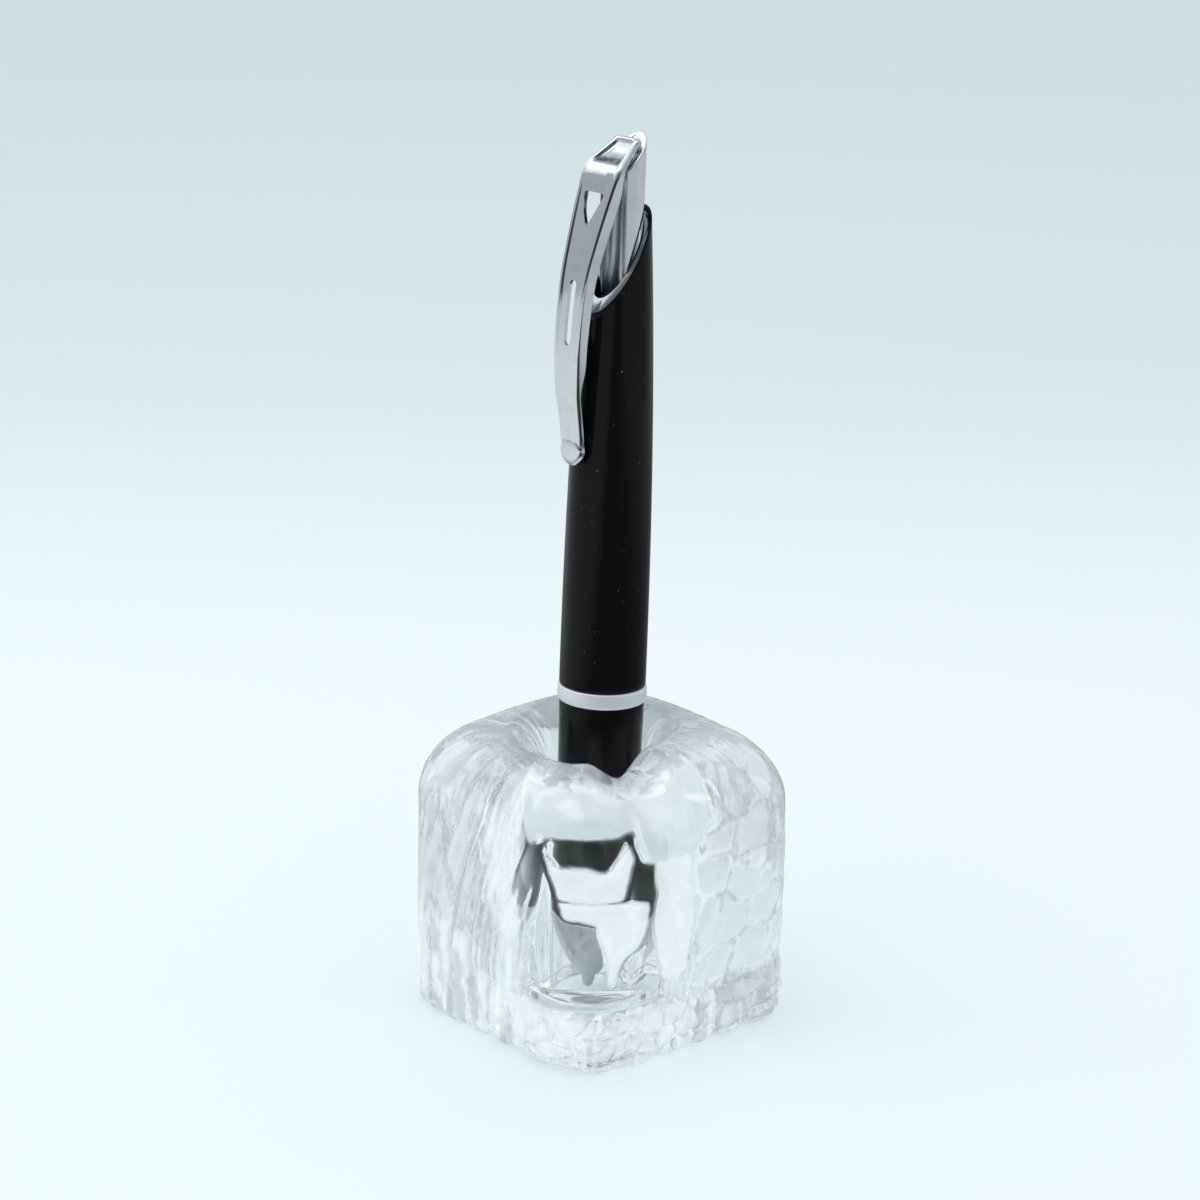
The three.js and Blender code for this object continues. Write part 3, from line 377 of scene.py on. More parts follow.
def turned_brass():
    finish = new_finish("turned brass")
    tarnish = finish.noise(240.0, 4.0).smooth(0.4, 0.7)
    return finish.opaque({
        "Base Color": finish.mix(tarnish * 0.5, (0.66, 0.50, 0.24), (0.42, 0.30, 0.13)),
        "Metallic": 1.0,
        "Roughness": 0.25 + tarnish * 0.2,
        "Normal": finish.bump(finish.noise(1800.0, 2.0, 0.6, stretch=(0.03, 0.03, 1.0)), 0.15),
    })


def spring_wire():
    finish = new_finish("drawn spring wire")
    drawn = finish.noise(1500.0, 2.0)
    return finish.opaque({
        "Base Color": finish.mix(drawn * 0.4, (0.5, 0.51, 0.53), (0.33, 0.34, 0.36)),
        "Metallic": 1.0,
        "Roughness": 0.25 + drawn * 0.15,
    })


def moulded_plastic(name, shade):
    finish = new_finish(name)
    grain = finish.noise(1400.0)
    return finish.opaque({
        "Base Color": finish.mix(finish.noise(130.0, 2.0) * 0.5, shade, darker(shade)),
        "Roughness": 0.42 + grain * 0.12,
        "Normal": finish.bump(grain, 0.12),
    })


# Meshes

def piece_from(name, vertices, faces, material, sharp_degrees=35):
    """A mesh object with smooth faces that meet in sharp edges beyond an angle."""
    data = bpy.data.meshes.new(name)
    data.from_pydata(np.asarray(vertices).tolist(), [], faces)
    data.validate()
    piece = bpy.data.objects.new(name, data)
    bpy.context.scene.collection.objects.link(piece)
    data.materials.append(material)
    smooth_by_angle(data, sharp_degrees)
    return piece


def smooth_by_angle(data, sharp_degrees):
    work = bmesh.new()
    work.from_mesh(data)
    bmesh.ops.recalc_face_normals(work, faces=work.faces)
    limit = math.radians(sharp_degrees)
    for face in work.faces:
        face.smooth = True
    for edge in work.edges:
        edge.smooth = edge.calc_face_angle(0.0) < limit
    work.to_mesh(data)
    work.free()


def skin(rings, closed=False):
    """Vertices and faces over a stack of rings (rows x around x 3).

    closed joins the last ring to the first; otherwise a face caps each end.
    """
    rings = np.asarray(rings)
    rows, around, _ = rings.shape
    low = np.arange(rows * around).reshape(rows, around)
    if closed:
        high = np.roll(low, -1, axis=0)
        caps = []
    else:
        caps = [low[0, ::-1].tolist(), low[-1].tolist()]
        low, high = low[:-1], low[1:]
    quads = np.stack([low, np.roll(low, -1, axis=1), np.roll(high, -1, axis=1), high], axis=2)
    return rings.reshape(-1, 3), quads.reshape(-1, 4).tolist() + caps


def rounded(corners, radius, steps):
    """A closed outline with each corner replaced by a curve from a radius before it to a radius after."""
    corners = [np.array(corner, float) for corner in corners]
    result = []
    for i, corner in enumerate(corners):
        ways = corners[i - 1] - corner, corners[(i + 1) % len(corners)] - corner
        lengths = [np.linalg.norm(way) for way in ways]
        start, end = (corner + way / far * min(radius, 0.45 * far) for way, far in zip(ways, lengths))
        for step in range(steps + 1):
            t = step / steps
            result.append((1 - t) ** 2 * start + 2 * t * (1 - t) * corner + t ** 2 * end)
    return np.array(result)


def ring(turns, radius, height):
    """A ring about the upright axis, whose radius and height may change from turn to turn."""
    return np.stack(np.broadcast_arrays(radius * np.cos(turns), radius * np.sin(turns), height), axis=1)


def revolve(profile, around=192):
    """Rings of a closed profile of (radius, height) turned about the pen's axis."""
    turns = np.linspace(0, 2 * math.pi, around, endpoint=False)
    return np.array([ring(turns, radius, height) for radius, height in profile])


def pen_piece(name, rings, material, body, closed=True):
    vertices, faces = skin(rings, closed)
    piece = piece_from(name, pen_to_world(vertices), faces, material)
    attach(piece, body)
    return piece


def mark_points(piece, name, levels):
    """Stores a level at each point of a mesh, for its material to read by this name."""
    layer = piece.data.attributes.new(name, "FLOAT", "POINT")
    layer.data.foreach_set("value", np.ravel(levels).astype(np.float32))


def through_stations(stations, samples):
    """A smooth run through rows of numbers; the first two of each row are a place that spaces the run."""
    rows = np.array(stations, float)
    gaps = np.sqrt(np.linalg.norm(np.diff(rows[:, :2], axis=0), axis=1))
    knots = np.concatenate(([0.0], np.cumsum(gaps)))
    slopes = np.gradient(rows, knots, axis=0)
    places = np.linspace(0, knots[-1], samples)
    spans = np.clip(np.searchsorted(knots, places, side="right") - 1, 0, len(knots) - 2)
    width = (knots[spans + 1] - knots[spans])[:, None]
    t = ((places - knots[spans]) / width[:, 0])[:, None]
    leave, arrive = slopes[spans] * width, slopes[spans + 1] * width
    return ((2 * t ** 3 - 3 * t ** 2 + 1) * rows[spans] + (t ** 3 - 2 * t ** 2 + t) * leave
            + (-2 * t ** 3 + 3 * t ** 2) * rows[spans + 1] + (t ** 3 - t ** 2) * arrive)


def cut_with(piece, tools, operation="DIFFERENCE"):
    """Booleans a piece with other meshes, which are then removed."""
    for tool in tools:
        modifier = piece.modifiers.new("cut", "BOOLEAN")
        modifier.operation = operation
        modifier.solver = "EXACT"
        modifier.object = tool
        evaluated = piece.evaluated_get(bpy.context.evaluated_depsgraph_get())
        data = bpy.data.meshes.new_from_object(evaluated)
        piece.modifiers.clear()
        piece.data = data
        bpy.data.objects.remove(tool)
    if not piece.data.polygons:
        raise RuntimeError(f"{piece.name} lost its faces in a cut")


# Glass block

def smoothstep(x, low, high):
    t = np.clip((x - low) / (high - low), 0, 1)
    return t * t * (3 - 2 * t)


def near(angle, bearing, spread):
    """1 on a bearing in degrees, falling to 0 a spread away."""
    turn = angle - math.radians(bearing)
    away = np.abs(np.arctan2(np.sin(turn), np.cos(turn)))
    return 1 - smoothstep(away, 0, math.radians(spread))


def rounded_square(angle, side, corner):
    x, y = np.abs(np.cos(angle)), np.abs(np.sin(angle))
    half = side / 2
    core = half - corner
    flat = half / np.maximum(x, y)
    middle = core * (x + y)
    arc = middle + np.sqrt(np.maximum(middle ** 2 - 2 * core ** 2 + corner ** 2, 0))
    return np.where(flat * np.minimum(x, y) <= core, flat, arc)


def scatter(i, j, k):
    """A repeatable number from 0 to 1 for each cell."""
    wave = np.sin(i * 12.9898 + j * 78.233 + k * 37.719) * 43758.5453
    return wave - np.floor(wave)


def cells(u, v):
    """Distances from each place to the nearest and second nearest of the scattered cell middles."""
    first = np.full(np.broadcast(u, v).shape, 9.0)
    second = first.copy()
    cell_u, cell_v = np.floor(u), np.floor(v)
    for du in (-1, 0, 1):
        for dv in (-1, 0, 1):
            i, j = cell_u + du, cell_v + dv
            middle_u = i + 0.15 + 0.7 * scatter(i, j, 1)
            middle_v = j + 0.15 + 0.7 * scatter(i, j, 2)
            away = np.hypot(u - middle_u, v - middle_v)
            closer = away < first
            second = np.where(closer, first, np.minimum(second, away))
            first = np.where(closer, away, first)
    return first, second


def swell(x, y, seed):
    """Slow random swells, mostly between -1 and 1."""
    total = 0.0
    for k in range(5):
        turn = 2 * math.pi * scatter(k, seed, 3.0)
        rate = 0.6 + 0.9 * scatter(k, seed, 5.0)
        total = total + np.sin(rate * (x * math.cos(turn) + y * math.sin(turn)) + 6.3 * scatter(k, seed, 7.0))
    return total / 3


def ripples(around, height):
    """Ridges that run down the -Y and -X sides like bark, bending and forking as they fall."""
    drift = 3.0 * np.sin(height / 11 + 0.5) + 0.16 * (40 - height) + 1.6 * swell(around / 8, height / 10, 1)
    wave = (around + drift) * 2 * math.pi / 4.8
    tall = 0.5 + 0.5 * swell(around / 5, height / 12, 2)
    crest = 0.62 * np.abs(np.cos(wave / 2)) ** 0.7 - 0.38
    fine = 0.16 * np.sin(wave * 2.3 + 2.2 * swell(around / 4, height / 7, 3))
    return tall * (crest + fine)


def pebble_cells(around, height):
    fine = around / 1.6, height / 1.9
    u = around / 4.7 + 0.3 * swell(around / 6, height / 6, 4) + 0.13 * swell(*fine, 14)
    v = height / 6.4 + 0.3 * swell(around / 6, height / 6, 5) + 0.10 * swell(*fine, 15) + 0.5
    return cells(u, v)


def pebbles(around, height):
    """Rounded pebbles with narrow valleys between them on the +X and +Y sides."""
    first, second = pebble_cells(around, height)
    return smoothstep(second - first, -0.1, 0.5) * (0.6 - 0.45 * first ** 2) - 0.32


def bead_cells(around, height):
    fine = around / 1.3, height / 1.2
    u = around / 3.8 + 0.3 * swell(around / 4, height / 4, 12) + 0.16 * swell(*fine, 16)
    return cells(u, height / 3.2 + 0.2 + 0.18 * swell(*fine, 17))


FRONT_BEARING = math.radians(41)
FRONT_RADIUS = 27.5
FAR_OFF = 99.0
OUTSIDE = -9.0

# Outlines on the front of the wall, unrolled about its bearing, as (across, height) in mm: the lobe under the
# lip, the two runs of glass below it, the curtain of painted pale light beside them and the painted
# highlights on the shoulder
LOBE = ((-18, 47), (-16, 41), (-14.6, 37.5), (-12.2, 33.6), (-10.4, 33.6), (-8.6, 34.7), (-4.8, 34.7),
        (0, 35.0), (2.6, 34.9), (4.8, 36.0), (5.6, 33.2), (6.5, 31.2), (10.4, 30.2), (14, 30.4), (17.5, 31.2),
        (20, 34), (21, 47))
UPPER_RUN = ((-9.6, 34.0), (-8.8, 32.6), (-7.0, 31.5), (-4, 31.4), (-1.8, 31.3), (1.0, 30.5), (2.2, 32.0),
             (4.6, 34.8), (5.6, 32.5), (4.6, 29.2), (4.0, 25.6), (0, 25.3), (-4, 25.4), (-7.2, 25.8),
             (-8.0, 29))
LOWER_RUN = ((-7.4, 26.1), (0, 26.0), (5, 26.0), (8.0, 25.5), (8.0, 22), (6.6, 19), (4.6, 17.3), (3.4, 16),
             (2.8, 12.8), (1.4, 12.8), (1.2, 16), (0.4, 18), (-0.6, 20.4), (-1, 22.4), (-3, 22.6),
             (-6.2, 23.0))
CURTAIN = ((8.6, 31.5), (9.0, 27), (8.4, 22), (9.2, 16.5), (10.6, 12.5), (15.5, 12.5), (17.0, 20),
           (16.6, 31.5))
PAINTED_HIGHLIGHTS = (
    ((5.4, 39.2), (8, 40.2), (11, 41.2), (14.4, 41.2), (14.2, 39.6), (11, 39.0), (8, 38.9)),
    ((15.5, 39.6), (17.5, 39.8), (20.5, 38.6), (20.8, 37.4), (19, 37.2), (16.5, 38.2)),
)


def depth_inside(across, height, outline):
    """Distance from the edge of an outline, positive inside it, and just OUTSIDE well away from it."""
    corners = rounded(outline, 0.9, 2)
    across, height = np.broadcast_arrays(across, height)
    low, high = corners.min(axis=0) - 1.0, corners.max(axis=0) + 1.0
    close = (across > low[0]) & (across < high[0]) & (height > low[1]) & (height < high[1])
    u, v = across[close], height[close]
    nearest = np.full(u.shape, FAR_OFF)
    inside = np.zeros(nearest.shape, bool)
    for (u0, v0), (u1, v1) in zip(corners, np.roll(corners, -1, axis=0)):
        run, rise = u1 - u0, v1 - v0
        along = np.clip(((u - u0) * run + (v - v0) * rise) / (run ** 2 + rise ** 2), 0, 1)
        nearest = np.minimum(nearest, np.hypot(u - u0 - along * run, v - v0 - along * rise))
        if v0 != v1:
            inside ^= ((v0 > v) != (v1 > v)) & (u < u0 + (v - v0) * run / rise)
    depth = np.full(across.shape, OUTSIDE)
    depth[close] = np.where(inside, nearest, -nearest)
    return depth


def front_place(angle, height):
    """Places on the unrolled front, wandering a little so that no outline runs straight."""
    turn = angle + FRONT_BEARING
    slow = angle * 11, height / 1.6
    fine = angle * 45, height / 0.5
    u = np.where(np.cos(turn) > 0, FRONT_RADIUS * np.sin(turn), FAR_OFF) + 0.25 * swell(*slow, 8)
    v = height + 0.25 * swell(*slow, 10)
    return u + 0.1 * swell(*fine, 18), v + 0.1 * swell(*fine, 19)


def front_flow(angle, height):
    """How deep each place lies inside the lobe and the two runs, mm."""
    u, v = front_place(angle, height)
    return [depth_inside(u, v, outline) for outline in (LOBE, UPPER_RUN, LOWER_RUN)]


def cast_masks(angle):
    rippled = np.maximum(near(angle, -100, 46), near(angle, 175, 62))
    pebbled = np.maximum(near(angle, 12, 42), near(angle, 88, 60))
    return rippled, pebbled


def cast_texture(angle, height, side):
    """How far the cast surface stands off the plain wall, mm."""
    around = angle * side / 2
    rippled, pebbled = cast_masks(angle)
    calm = 0.9 * rippled * ripples(around, height) + 0.9 * pebbled * pebbles(around, height)
    lip = 0.6 * smoothstep(height, 34, 38) * near(angle, -50, 30)
    slow = 0.4 * swell(around / 7, height / 8, 6) * (1 - lip)
    first, second = bead_cells(around, height)
    beads = (1 - 0.7 * rippled) * (smoothstep(second - first, -0.1, 0.6) * (0.5 - 0.4 * first ** 2) - 0.2)
    lumps = 0.42 * np.sin(around * 2 * math.pi / 6.5 + 1.3 * np.sin(around / 7)) + 0.8 * beads
    lumpy = 1 - smoothstep(height, 2.0, 8.5)
    waist = -0.35 * np.exp(-((height - 9.5) / 1.6) ** 2)
    front = near(angle, -42, 28)
    return (calm + slow * (1 - 0.7 * front)) * (1 - lumpy) + lumpy * lumps + waist


def flow_thickness(angle, height):
    lobe, upper, lower = front_flow(angle, height)
    runs = np.maximum(upper, lower)
    return 0.8 * smoothstep(lobe, -0.3, 1.8) + 0.62 * smoothstep(runs, -0.4, 1.6)


def window_limit(angle, height, sizes):
    """The furthest the wall may stand from the middle: the front corner is rounded off from ledge to lobe."""
    turn = np.abs(angle + math.radians(43))
    facing = 1 - smoothstep(turn, math.radians(24), math.radians(36))
    above_ledge = smoothstep(height, sizes.window_foot - 1.0, sizes.window_foot + 1.2)
    below_lobe = 1 - smoothstep(height, sizes.window_head - 1, sizes.window_head + 4)
    return sizes.window + 9.0 * (1 - facing * above_ledge * below_lobe)


def smooth_least(a, b, blend):
    share = np.clip(0.5 + 0.5 * (b - a) / blend, 0, 1)
    return b + (a - b) * share - blend * share * (1 - share)


def painted_pale_light_level(angle, height, side):
    """How much pale light is painted into the clear glass in place of the light it refracts and reflects:
    most in the glass that flowed down the front, less on crests and pebbles.
    """
    around = angle * side / 2
    rippled, pebbled = (smoothstep(mask, 0.05, 0.4) for mask in cast_masks(angle))
    lobe, upper, lower = front_flow(angle, height)
    u, v = front_place(angle, height)
    runs = 0.95 * np.maximum(smoothstep(upper, -0.1, 0.6), smoothstep(lower, -0.1, 0.5))
    curtain = 0.94 * smoothstep(depth_inside(u, v, CURTAIN), -0.2, 0.5)
    # Painted highlights: full white where the light glints on the right shoulder
    painted_highlights = smoothstep(np.maximum(*(depth_inside(u, v, outline) for outline in PAINTED_HIGHLIGHTS)), -0.1, 0.4)
    crests = 0.75 * rippled * smoothstep(ripples(around, height), -0.28, 0.1)
    first, second = pebble_cells(around, height)
    domes = pebbled * (0.5 + 0.38 * smoothstep(second - first, 0.02, 0.16))
    cloud = 0.5 + 0.5 * swell(around / 6, height / 5, 9)
    foot = 1 - smoothstep(height, 7, 11)
    first, second = bead_cells(around, height)
    bead_tops = smoothstep(second - first, 0.0, 0.25)
    beads = (1 - rippled) * foot * (0.12 + 0.45 * bead_tops * smoothstep(cloud, 0.4, 0.6))
    # Painted reflection of the light above: paler towards the top of the shoulder
    shoulder = 0.5 * smoothstep(height, 35, 40) * cloud
    faces = np.maximum(crests, domes * (1 - foot)) * (0.55 + 0.45 * smoothstep(cloud, 0.3, 0.6))
    lobe_painted_light = 0.86 * smoothstep(lobe, -0.1, 0.8)
    return np.maximum.reduce([faces, shoulder, beads, lobe_painted_light, runs, curtain, painted_highlights])


def rim_height(angle, height):
    """The rim, highest at the back and lowest in the notch at the front."""
    back = 0.6 * near(angle, 139, 80)
    right = 0.5 * near(angle, 20, 30)
    left = 0.3 * near(angle, -110, 50)
    front = 1.6 * near(angle, -60, 60)
    notch = 3.4 * near(angle, -22, 26)
    return height - 0.6 + back + right + left - front - notch


def block_rings(sizes, around):
    """The cast block as rings, from the middle of its base up the walls, over the rim and down the bore."""
    angle = np.linspace(-math.pi, math.pi, around, endpoint=False)
    bore_place = -sizes.shift * np.array([math.cos(VIEW_BEARING), math.sin(VIEW_BEARING), 0])
    shoulder_start = sizes.height - sizes.shoulder
    throat = sizes.height - sizes.funnel
    rings = []
    painted_pale_light = []

    # Each ring also carries its level of painted pale light for the glass
    def add(radius, height, bore_share=0.0, painted_pale=0.0):
        rings.append(ring(angle, radius, height) + bore_place * bore_share)
        painted_pale_light.append(painted_pale * painted_pale_light_level(angle, height, sizes.side) if painted_pale > 0 else np.zeros(around))

    def wall(height, inset=0.0):
        belly = 1 - 0.018 * ((height - 0.36 * sizes.height) / (0.5 * sizes.height)) ** 2
        plain = rounded_square(angle, sizes.side, sizes.corner) * belly
        cast = plain - inset + cast_texture(angle, height, sizes.side)
        return smooth_least(cast, window_limit(angle, height, sizes), 1.0) + flow_thickness(angle, height)

    for share in np.linspace(0.02, 0.98, 30):
        add(share * wall(0.0, sizes.base_fillet), 0.0)
    for turn in np.linspace(0, math.pi / 2, 10, endpoint=False):
        height = sizes.base_fillet * (1 - math.cos(turn))
        add(wall(height, sizes.base_fillet * (1 - math.sin(turn))), height, 0.0, 1.0)
    for height in np.linspace(sizes.base_fillet, shoulder_start, 130):
        add(wall(height), height, 0.0, 1.0)
    rim = rim_height(angle, sizes.height)
    for share in np.linspace(0, 1, 71)[1:]:
        turn = share * math.pi / 2
        outer = wall(shoulder_start + share * 6)
        fade = math.cos(turn) ** 0.8 if share < 1 else 0.0
        radius = sizes.mouth + (outer - sizes.mouth) * fade
        height = shoulder_start + (rim - shoulder_start) * math.sin(turn) ** 1.1
        add(radius, height, 1 - fade, 1 - 0.8 * smoothstep(share, 0.6, 1.0))
    for share in np.linspace(0, 1, 51)[1:]:
        turn = share * math.pi / 2
        radius = sizes.mouth + (sizes.bore - sizes.mouth) * math.sin(turn)
        add(radius, throat + (rim - throat) * math.cos(turn), 1.0)
    bore_end = sizes.floor + sizes.floor_fillet
    for height in np.linspace(throat, bore_end, 41)[1:]:
        add(sizes.bore, height, 1.0)
    for turn in np.linspace(0, math.pi / 2, 9)[1:]:
        radius = sizes.bore - sizes.floor_fillet * (1 - math.cos(turn))
        add(radius, bore_end - sizes.floor_fillet * math.sin(turn), 1.0)
    inner = sizes.bore - sizes.floor_fillet
    for share in np.linspace(1, 0.04, 12)[1:]:
        add(inner * share, sizes.floor, 1.0)
    return np.array(rings), np.array(painted_pale_light)


class PENHOLDER_OT_glass_block(bpy.types.Operator):
    """Cast the clear glass block with its mouth and blind bore"""

    bl_idname = "pen_holder.glass_block"
    bl_label = "Glass block"

    def execute(self, context):
        rings, painted_pale_light = block_rings(context.scene.pen_holder_block, around=480)
        vertices, faces = skin(rings * MM)
        low, high = (np.array(corner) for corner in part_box("glass_block"))
        own_low, own_high = vertices.min(0), vertices.max(0)
        vertices = low + (vertices - own_low) * np.minimum(1.0, (high - low) / (own_high - own_low))
        piece = piece_from("cast_glass_block", vertices, faces, clear_glass(), 180)
        # The glass material reads this level to paint pale light into the clear glass
        mark_points(piece, "painted_pale_light", painted_pale_light)
        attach(piece, "holder")
        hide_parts("glass_block")
        return {"FINISHED"}


# Barrels

def upper_radius(sizes, height, foot, foot_radius):
    along = np.maximum(0, (height - foot) / (sizes.upper_length * MM))
    return foot_radius - sizes.taper * MM * along ** sizes.taper_power


def scooped_barrel(sizes, foot, foot_radius, snug):
    """Rings of the upper barrel, cut off at a slant with a hollow of radius snug, and of its lining."""
    wall, lip = sizes.wall * MM, sizes.lip * MM
    bevel = 0.14 * MM
    turns = np.linspace(0, 2 * math.pi, 256, endpoint=False)
    scoop_centre = foot + sizes.scoop_height * MM
    slope = math.tan(sizes.scoop_slope)

    def outside(height):
        return upper_radius(sizes, height, foot, foot_radius)

    def scoop_edge(radius_at):
        edge = np.full(len(turns), scoop_centre)
        for _ in range(12):
            edge = scoop_centre + slope * radius_at(edge) * np.sin(turns)
        return edge

    outer_edge = scoop_edge(outside)
    inner_edge = scoop_edge(lambda height: snug)
    rim = scoop_edge(lambda height: outside(height) - lip)
    rim_radius = outside(rim) - lip
    seat = outer_edge.min() - 0.45 * MM
    rings = [
        ring(turns, foot_radius - 0.5 * wall, foot),
        ring(turns, foot_radius - bevel, foot),
        ring(turns, foot_radius - 0.3 * bevel, foot + 0.3 * bevel),
    ]
    for share in np.linspace(0, 1, 110):
        height = (foot + bevel) + (outer_edge - 0.35 * bevel - foot - bevel) * share
        rings.append(ring(turns, outside(height), height))
    rings += [
        ring(turns, outside(outer_edge) - 0.3 * bevel, outer_edge),
        ring(turns, rim_radius, rim),
        ring(turns, rim_radius, rim - 0.3 * MM),
        ring(turns, snug, inner_edge - 0.3 * MM),
    ]
    for share in np.linspace(0, 1, 24):
        rings.append(ring(turns, snug, (inner_edge - 0.32 * MM) * (1 - share) + seat * share))
    for height in np.linspace(seat, foot, 40):
        rings.append(ring(turns, outside(height) - wall, height))
    clearance = 0.01 * MM
    bottom, top = 0.28 * MM, 0.07 * MM
    lining = [
        ring(turns, rim_radius - clearance, rim - bottom),
        ring(turns, rim_radius - clearance, rim - top),
        ring(turns, snug + clearance, inner_edge - top),
        ring(turns, snug + clearance, inner_edge - bottom),
    ]
    return rings, lining


class PENHOLDER_OT_barrels(bpy.types.Operator):
    """Build the two lacquered barrels, the upper one with its slanted scoop"""

    bl_idname = "pen_holder.barrels"
    bl_label = "Barrels"

    def execute(self, context):
        sizes = context.scene.pen_holder_pen
        lacquer = black_lacquer(context.scene.pen_holder_colours.lacquer)
        wall = sizes.wall * MM
        low, high, radius = pen_span("lower_barrel")
        foot_radius = radius - 0.28 * MM
        profile = rounded([
            (foot_radius - wall, low),
            (foot_radius, low),
            ((foot_radius + radius) / 2, (low + high) / 2),
            (radius, high),
            (radius - wall, high),
        ], 0.16 * MM, 5)
        lower = pen_piece("lower_barrel_lacquer", revolve(profile), lacquer, "pen")
        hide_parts("lower_barrel")

        foot, _, foot_radius = pen_span("upper_barrel")
        snug = pen_span("cap_tube")[2] + 0.15 * MM
        rings, lining_rings = scooped_barrel(sizes, foot, foot_radius, snug)
        upper = pen_piece("upper_barrel_lacquer", rings, lacquer, "pen_top")
        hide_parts("upper_barrel")
        chrome = bright_chrome((0.5, 0.52, 0.54), "scoop chrome")
        lining = pen_piece("chrome_scoop_lining", lining_rings, chrome, "pen_top")
        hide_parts("cap_tube")
        return {"FINISHED"}


class PENHOLDER_OT_centre_ring(bpy.types.Operator):
    """Turn the satin chrome ring between the barrels"""

    bl_idname = "pen_holder.centre_ring"
    bl_label = "Centre ring"

    def execute(self, context):
        shade = context.scene.pen_holder_colours.satin
        low, high, radius = pen_span("centre_ring")
        inner = radius - 1.1 * MM
        profile = rounded([
            (inner, low),
            (radius - 0.12 * MM, low),
            (radius, low + 0.35 * MM),
            (radius + 0.02 * MM, (low + high) / 2),
            (radius, high - 0.35 * MM),
            (radius - 0.12 * MM, high),
            (inner, high),
        ], 0.14 * MM, 4)
        satin = satin_metal(shade, "satin chrome", 0.42, 2400.0, 0.6)
        piece = pen_piece("satin_centre_ring", revolve(profile), satin, "pen_top")
        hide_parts("centre_ring")
        return {"FINISHED"}


class PENHOLDER_OT_nose_cone(bpy.types.Operator):
    """Turn the plated nose cone that is seen through the glass"""

    bl_idname = "pen_holder.nose_cone"
    bl_label = "Nose cone"

    def execute(self, context):
        shade = context.scene.pen_holder_colours.silver
        low, high, radius = pen_span("nose_cone")
        cone_top = pen_span("lower_barrel")[0] - 0.15 * MM
        hole = 1.35 * MM
        chamber = 2.5 * MM
        chamber_end = low + 3.4 * MM
        spigot = 4.15 * MM
        end = 2.0 * MM
        steps = 14
        outside = []
        for i in range(steps + 1):
            along = i / steps
            bulge = 0.55 * MM * math.sin(math.pi * along)
            height = low + 0.4 * MM + (cone_top - low - 1.6 * MM) * along
            outside.append((end + (radius - end) * along + bulge, height))
        profile = rounded([
            (hole, low),
            (end - 0.4 * MM, low),
            *outside,
            (radius, cone_top),
            (spigot, cone_top),
            (spigot, high),
            (chamber, high),
            (chamber, chamber_end),
            (hole, chamber_end),
        ], 0.12 * MM, 3)
        plated = satin_metal(shade, "plated silver", 0.16, 1500.0)
        cone = pen_piece("plated_nose_cone", revolve(profile, 128), plated, "pen")
        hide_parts("nose_cone")
        return {"FINISHED"}


class PENHOLDER_OT_cap_tube(bpy.types.Operator):
    """Bend the chrome tube that stands out of the scoop, open towards the clip"""

    bl_idname = "pen_holder.cap_tube"
    bl_label = "Chrome tube"

    def execute(self, context):
        sizes = context.scene.pen_holder_pen
        shade = context.scene.pen_holder_colours.chrome
        low, high, radius = pen_span("cap_tube")
        inner = radius - sizes.tube_wall * MM
        turns = np.linspace(sizes.tube_open, 2 * math.pi - sizes.tube_open, 97)
        outline = [(radius * math.sin(t), -radius * math.cos(t)) for t in turns]
        outline += [(inner * math.sin(t), -inner * math.cos(t)) for t in reversed(turns)]
        section = rounded(outline, 0.18 * MM, 2)
        edge_round = 0.16 * MM
        middle = (radius + inner) / 2
        distance = np.hypot(section[:, 0], section[:, 1])
        across = (distance - middle) / (radius - inner) * 2
        top = high - 0.02 * MM - (radius - section[:, 1])
        shift = section / distance[:, None]
        rings = []
        for share in np.linspace(0, 1, 40):
            height = low + (top - edge_round - low) * share
            rings.append(np.column_stack([section, height]))
        for turn in np.linspace(0, math.pi / 2, 5)[1:]:
            pulled = section - shift * (across * edge_round * (1 - math.cos(turn)))[:, None]
            rings.append(np.column_stack([pulled, top - edge_round * (1 - math.sin(turn))]))
        chrome = bright_chrome(shade)
        tube = pen_piece("chrome_cap_tube", np.array(rings), chrome, "pen_top", closed=False)
        # The inner face of the tube gets duller chrome and painted shade
        mark_points(tube, "inside", np.tile(distance < middle, len(rings)) * 0.35)
        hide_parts("cap_tube")
        return {"FINISHED"}


# Clip

# The clip's shoulder lies this far below the top of the tube, mm
SHOULDER_DROP = 4.4
PAD_HALF_LENGTH = 2.3
PAD_HALF_DEPTH = 0.85
BARREL_GAP = 0.2
PRISM_DEPTH = 16.0


def clip_section(width, flange, panel, sizes):
    """A cross section of the sheet bent into a shallow channel: (across, depth below the outer face)."""
    half = width / 2
    sheet = sizes.thickness
    bevel = 0.3
    edge = min(sizes.edge, 0.45 * half)
    sunk = max(panel, 0.0)
    crown = 0.14 * (1 - min(1.0, sunk / sizes.panel))
    side = [
        (half - sheet, flange),
        (half, flange),
        (half, bevel),
        (half - bevel, 0.0),
        (half - edge, 0.0),
        (half - edge - 0.2, sunk),
        (half * 0.4, sunk - 0.7 * crown),
    ]
    mirrored = [(-x, depth) for x, depth in reversed(side)]
    under_depth = sheet + sunk * 0.5 + 0.02
    under = [(-half + sheet, under_depth), (half - sheet, under_depth)]
    return rounded([*side, *mirrored, *under], 0.13, 3)


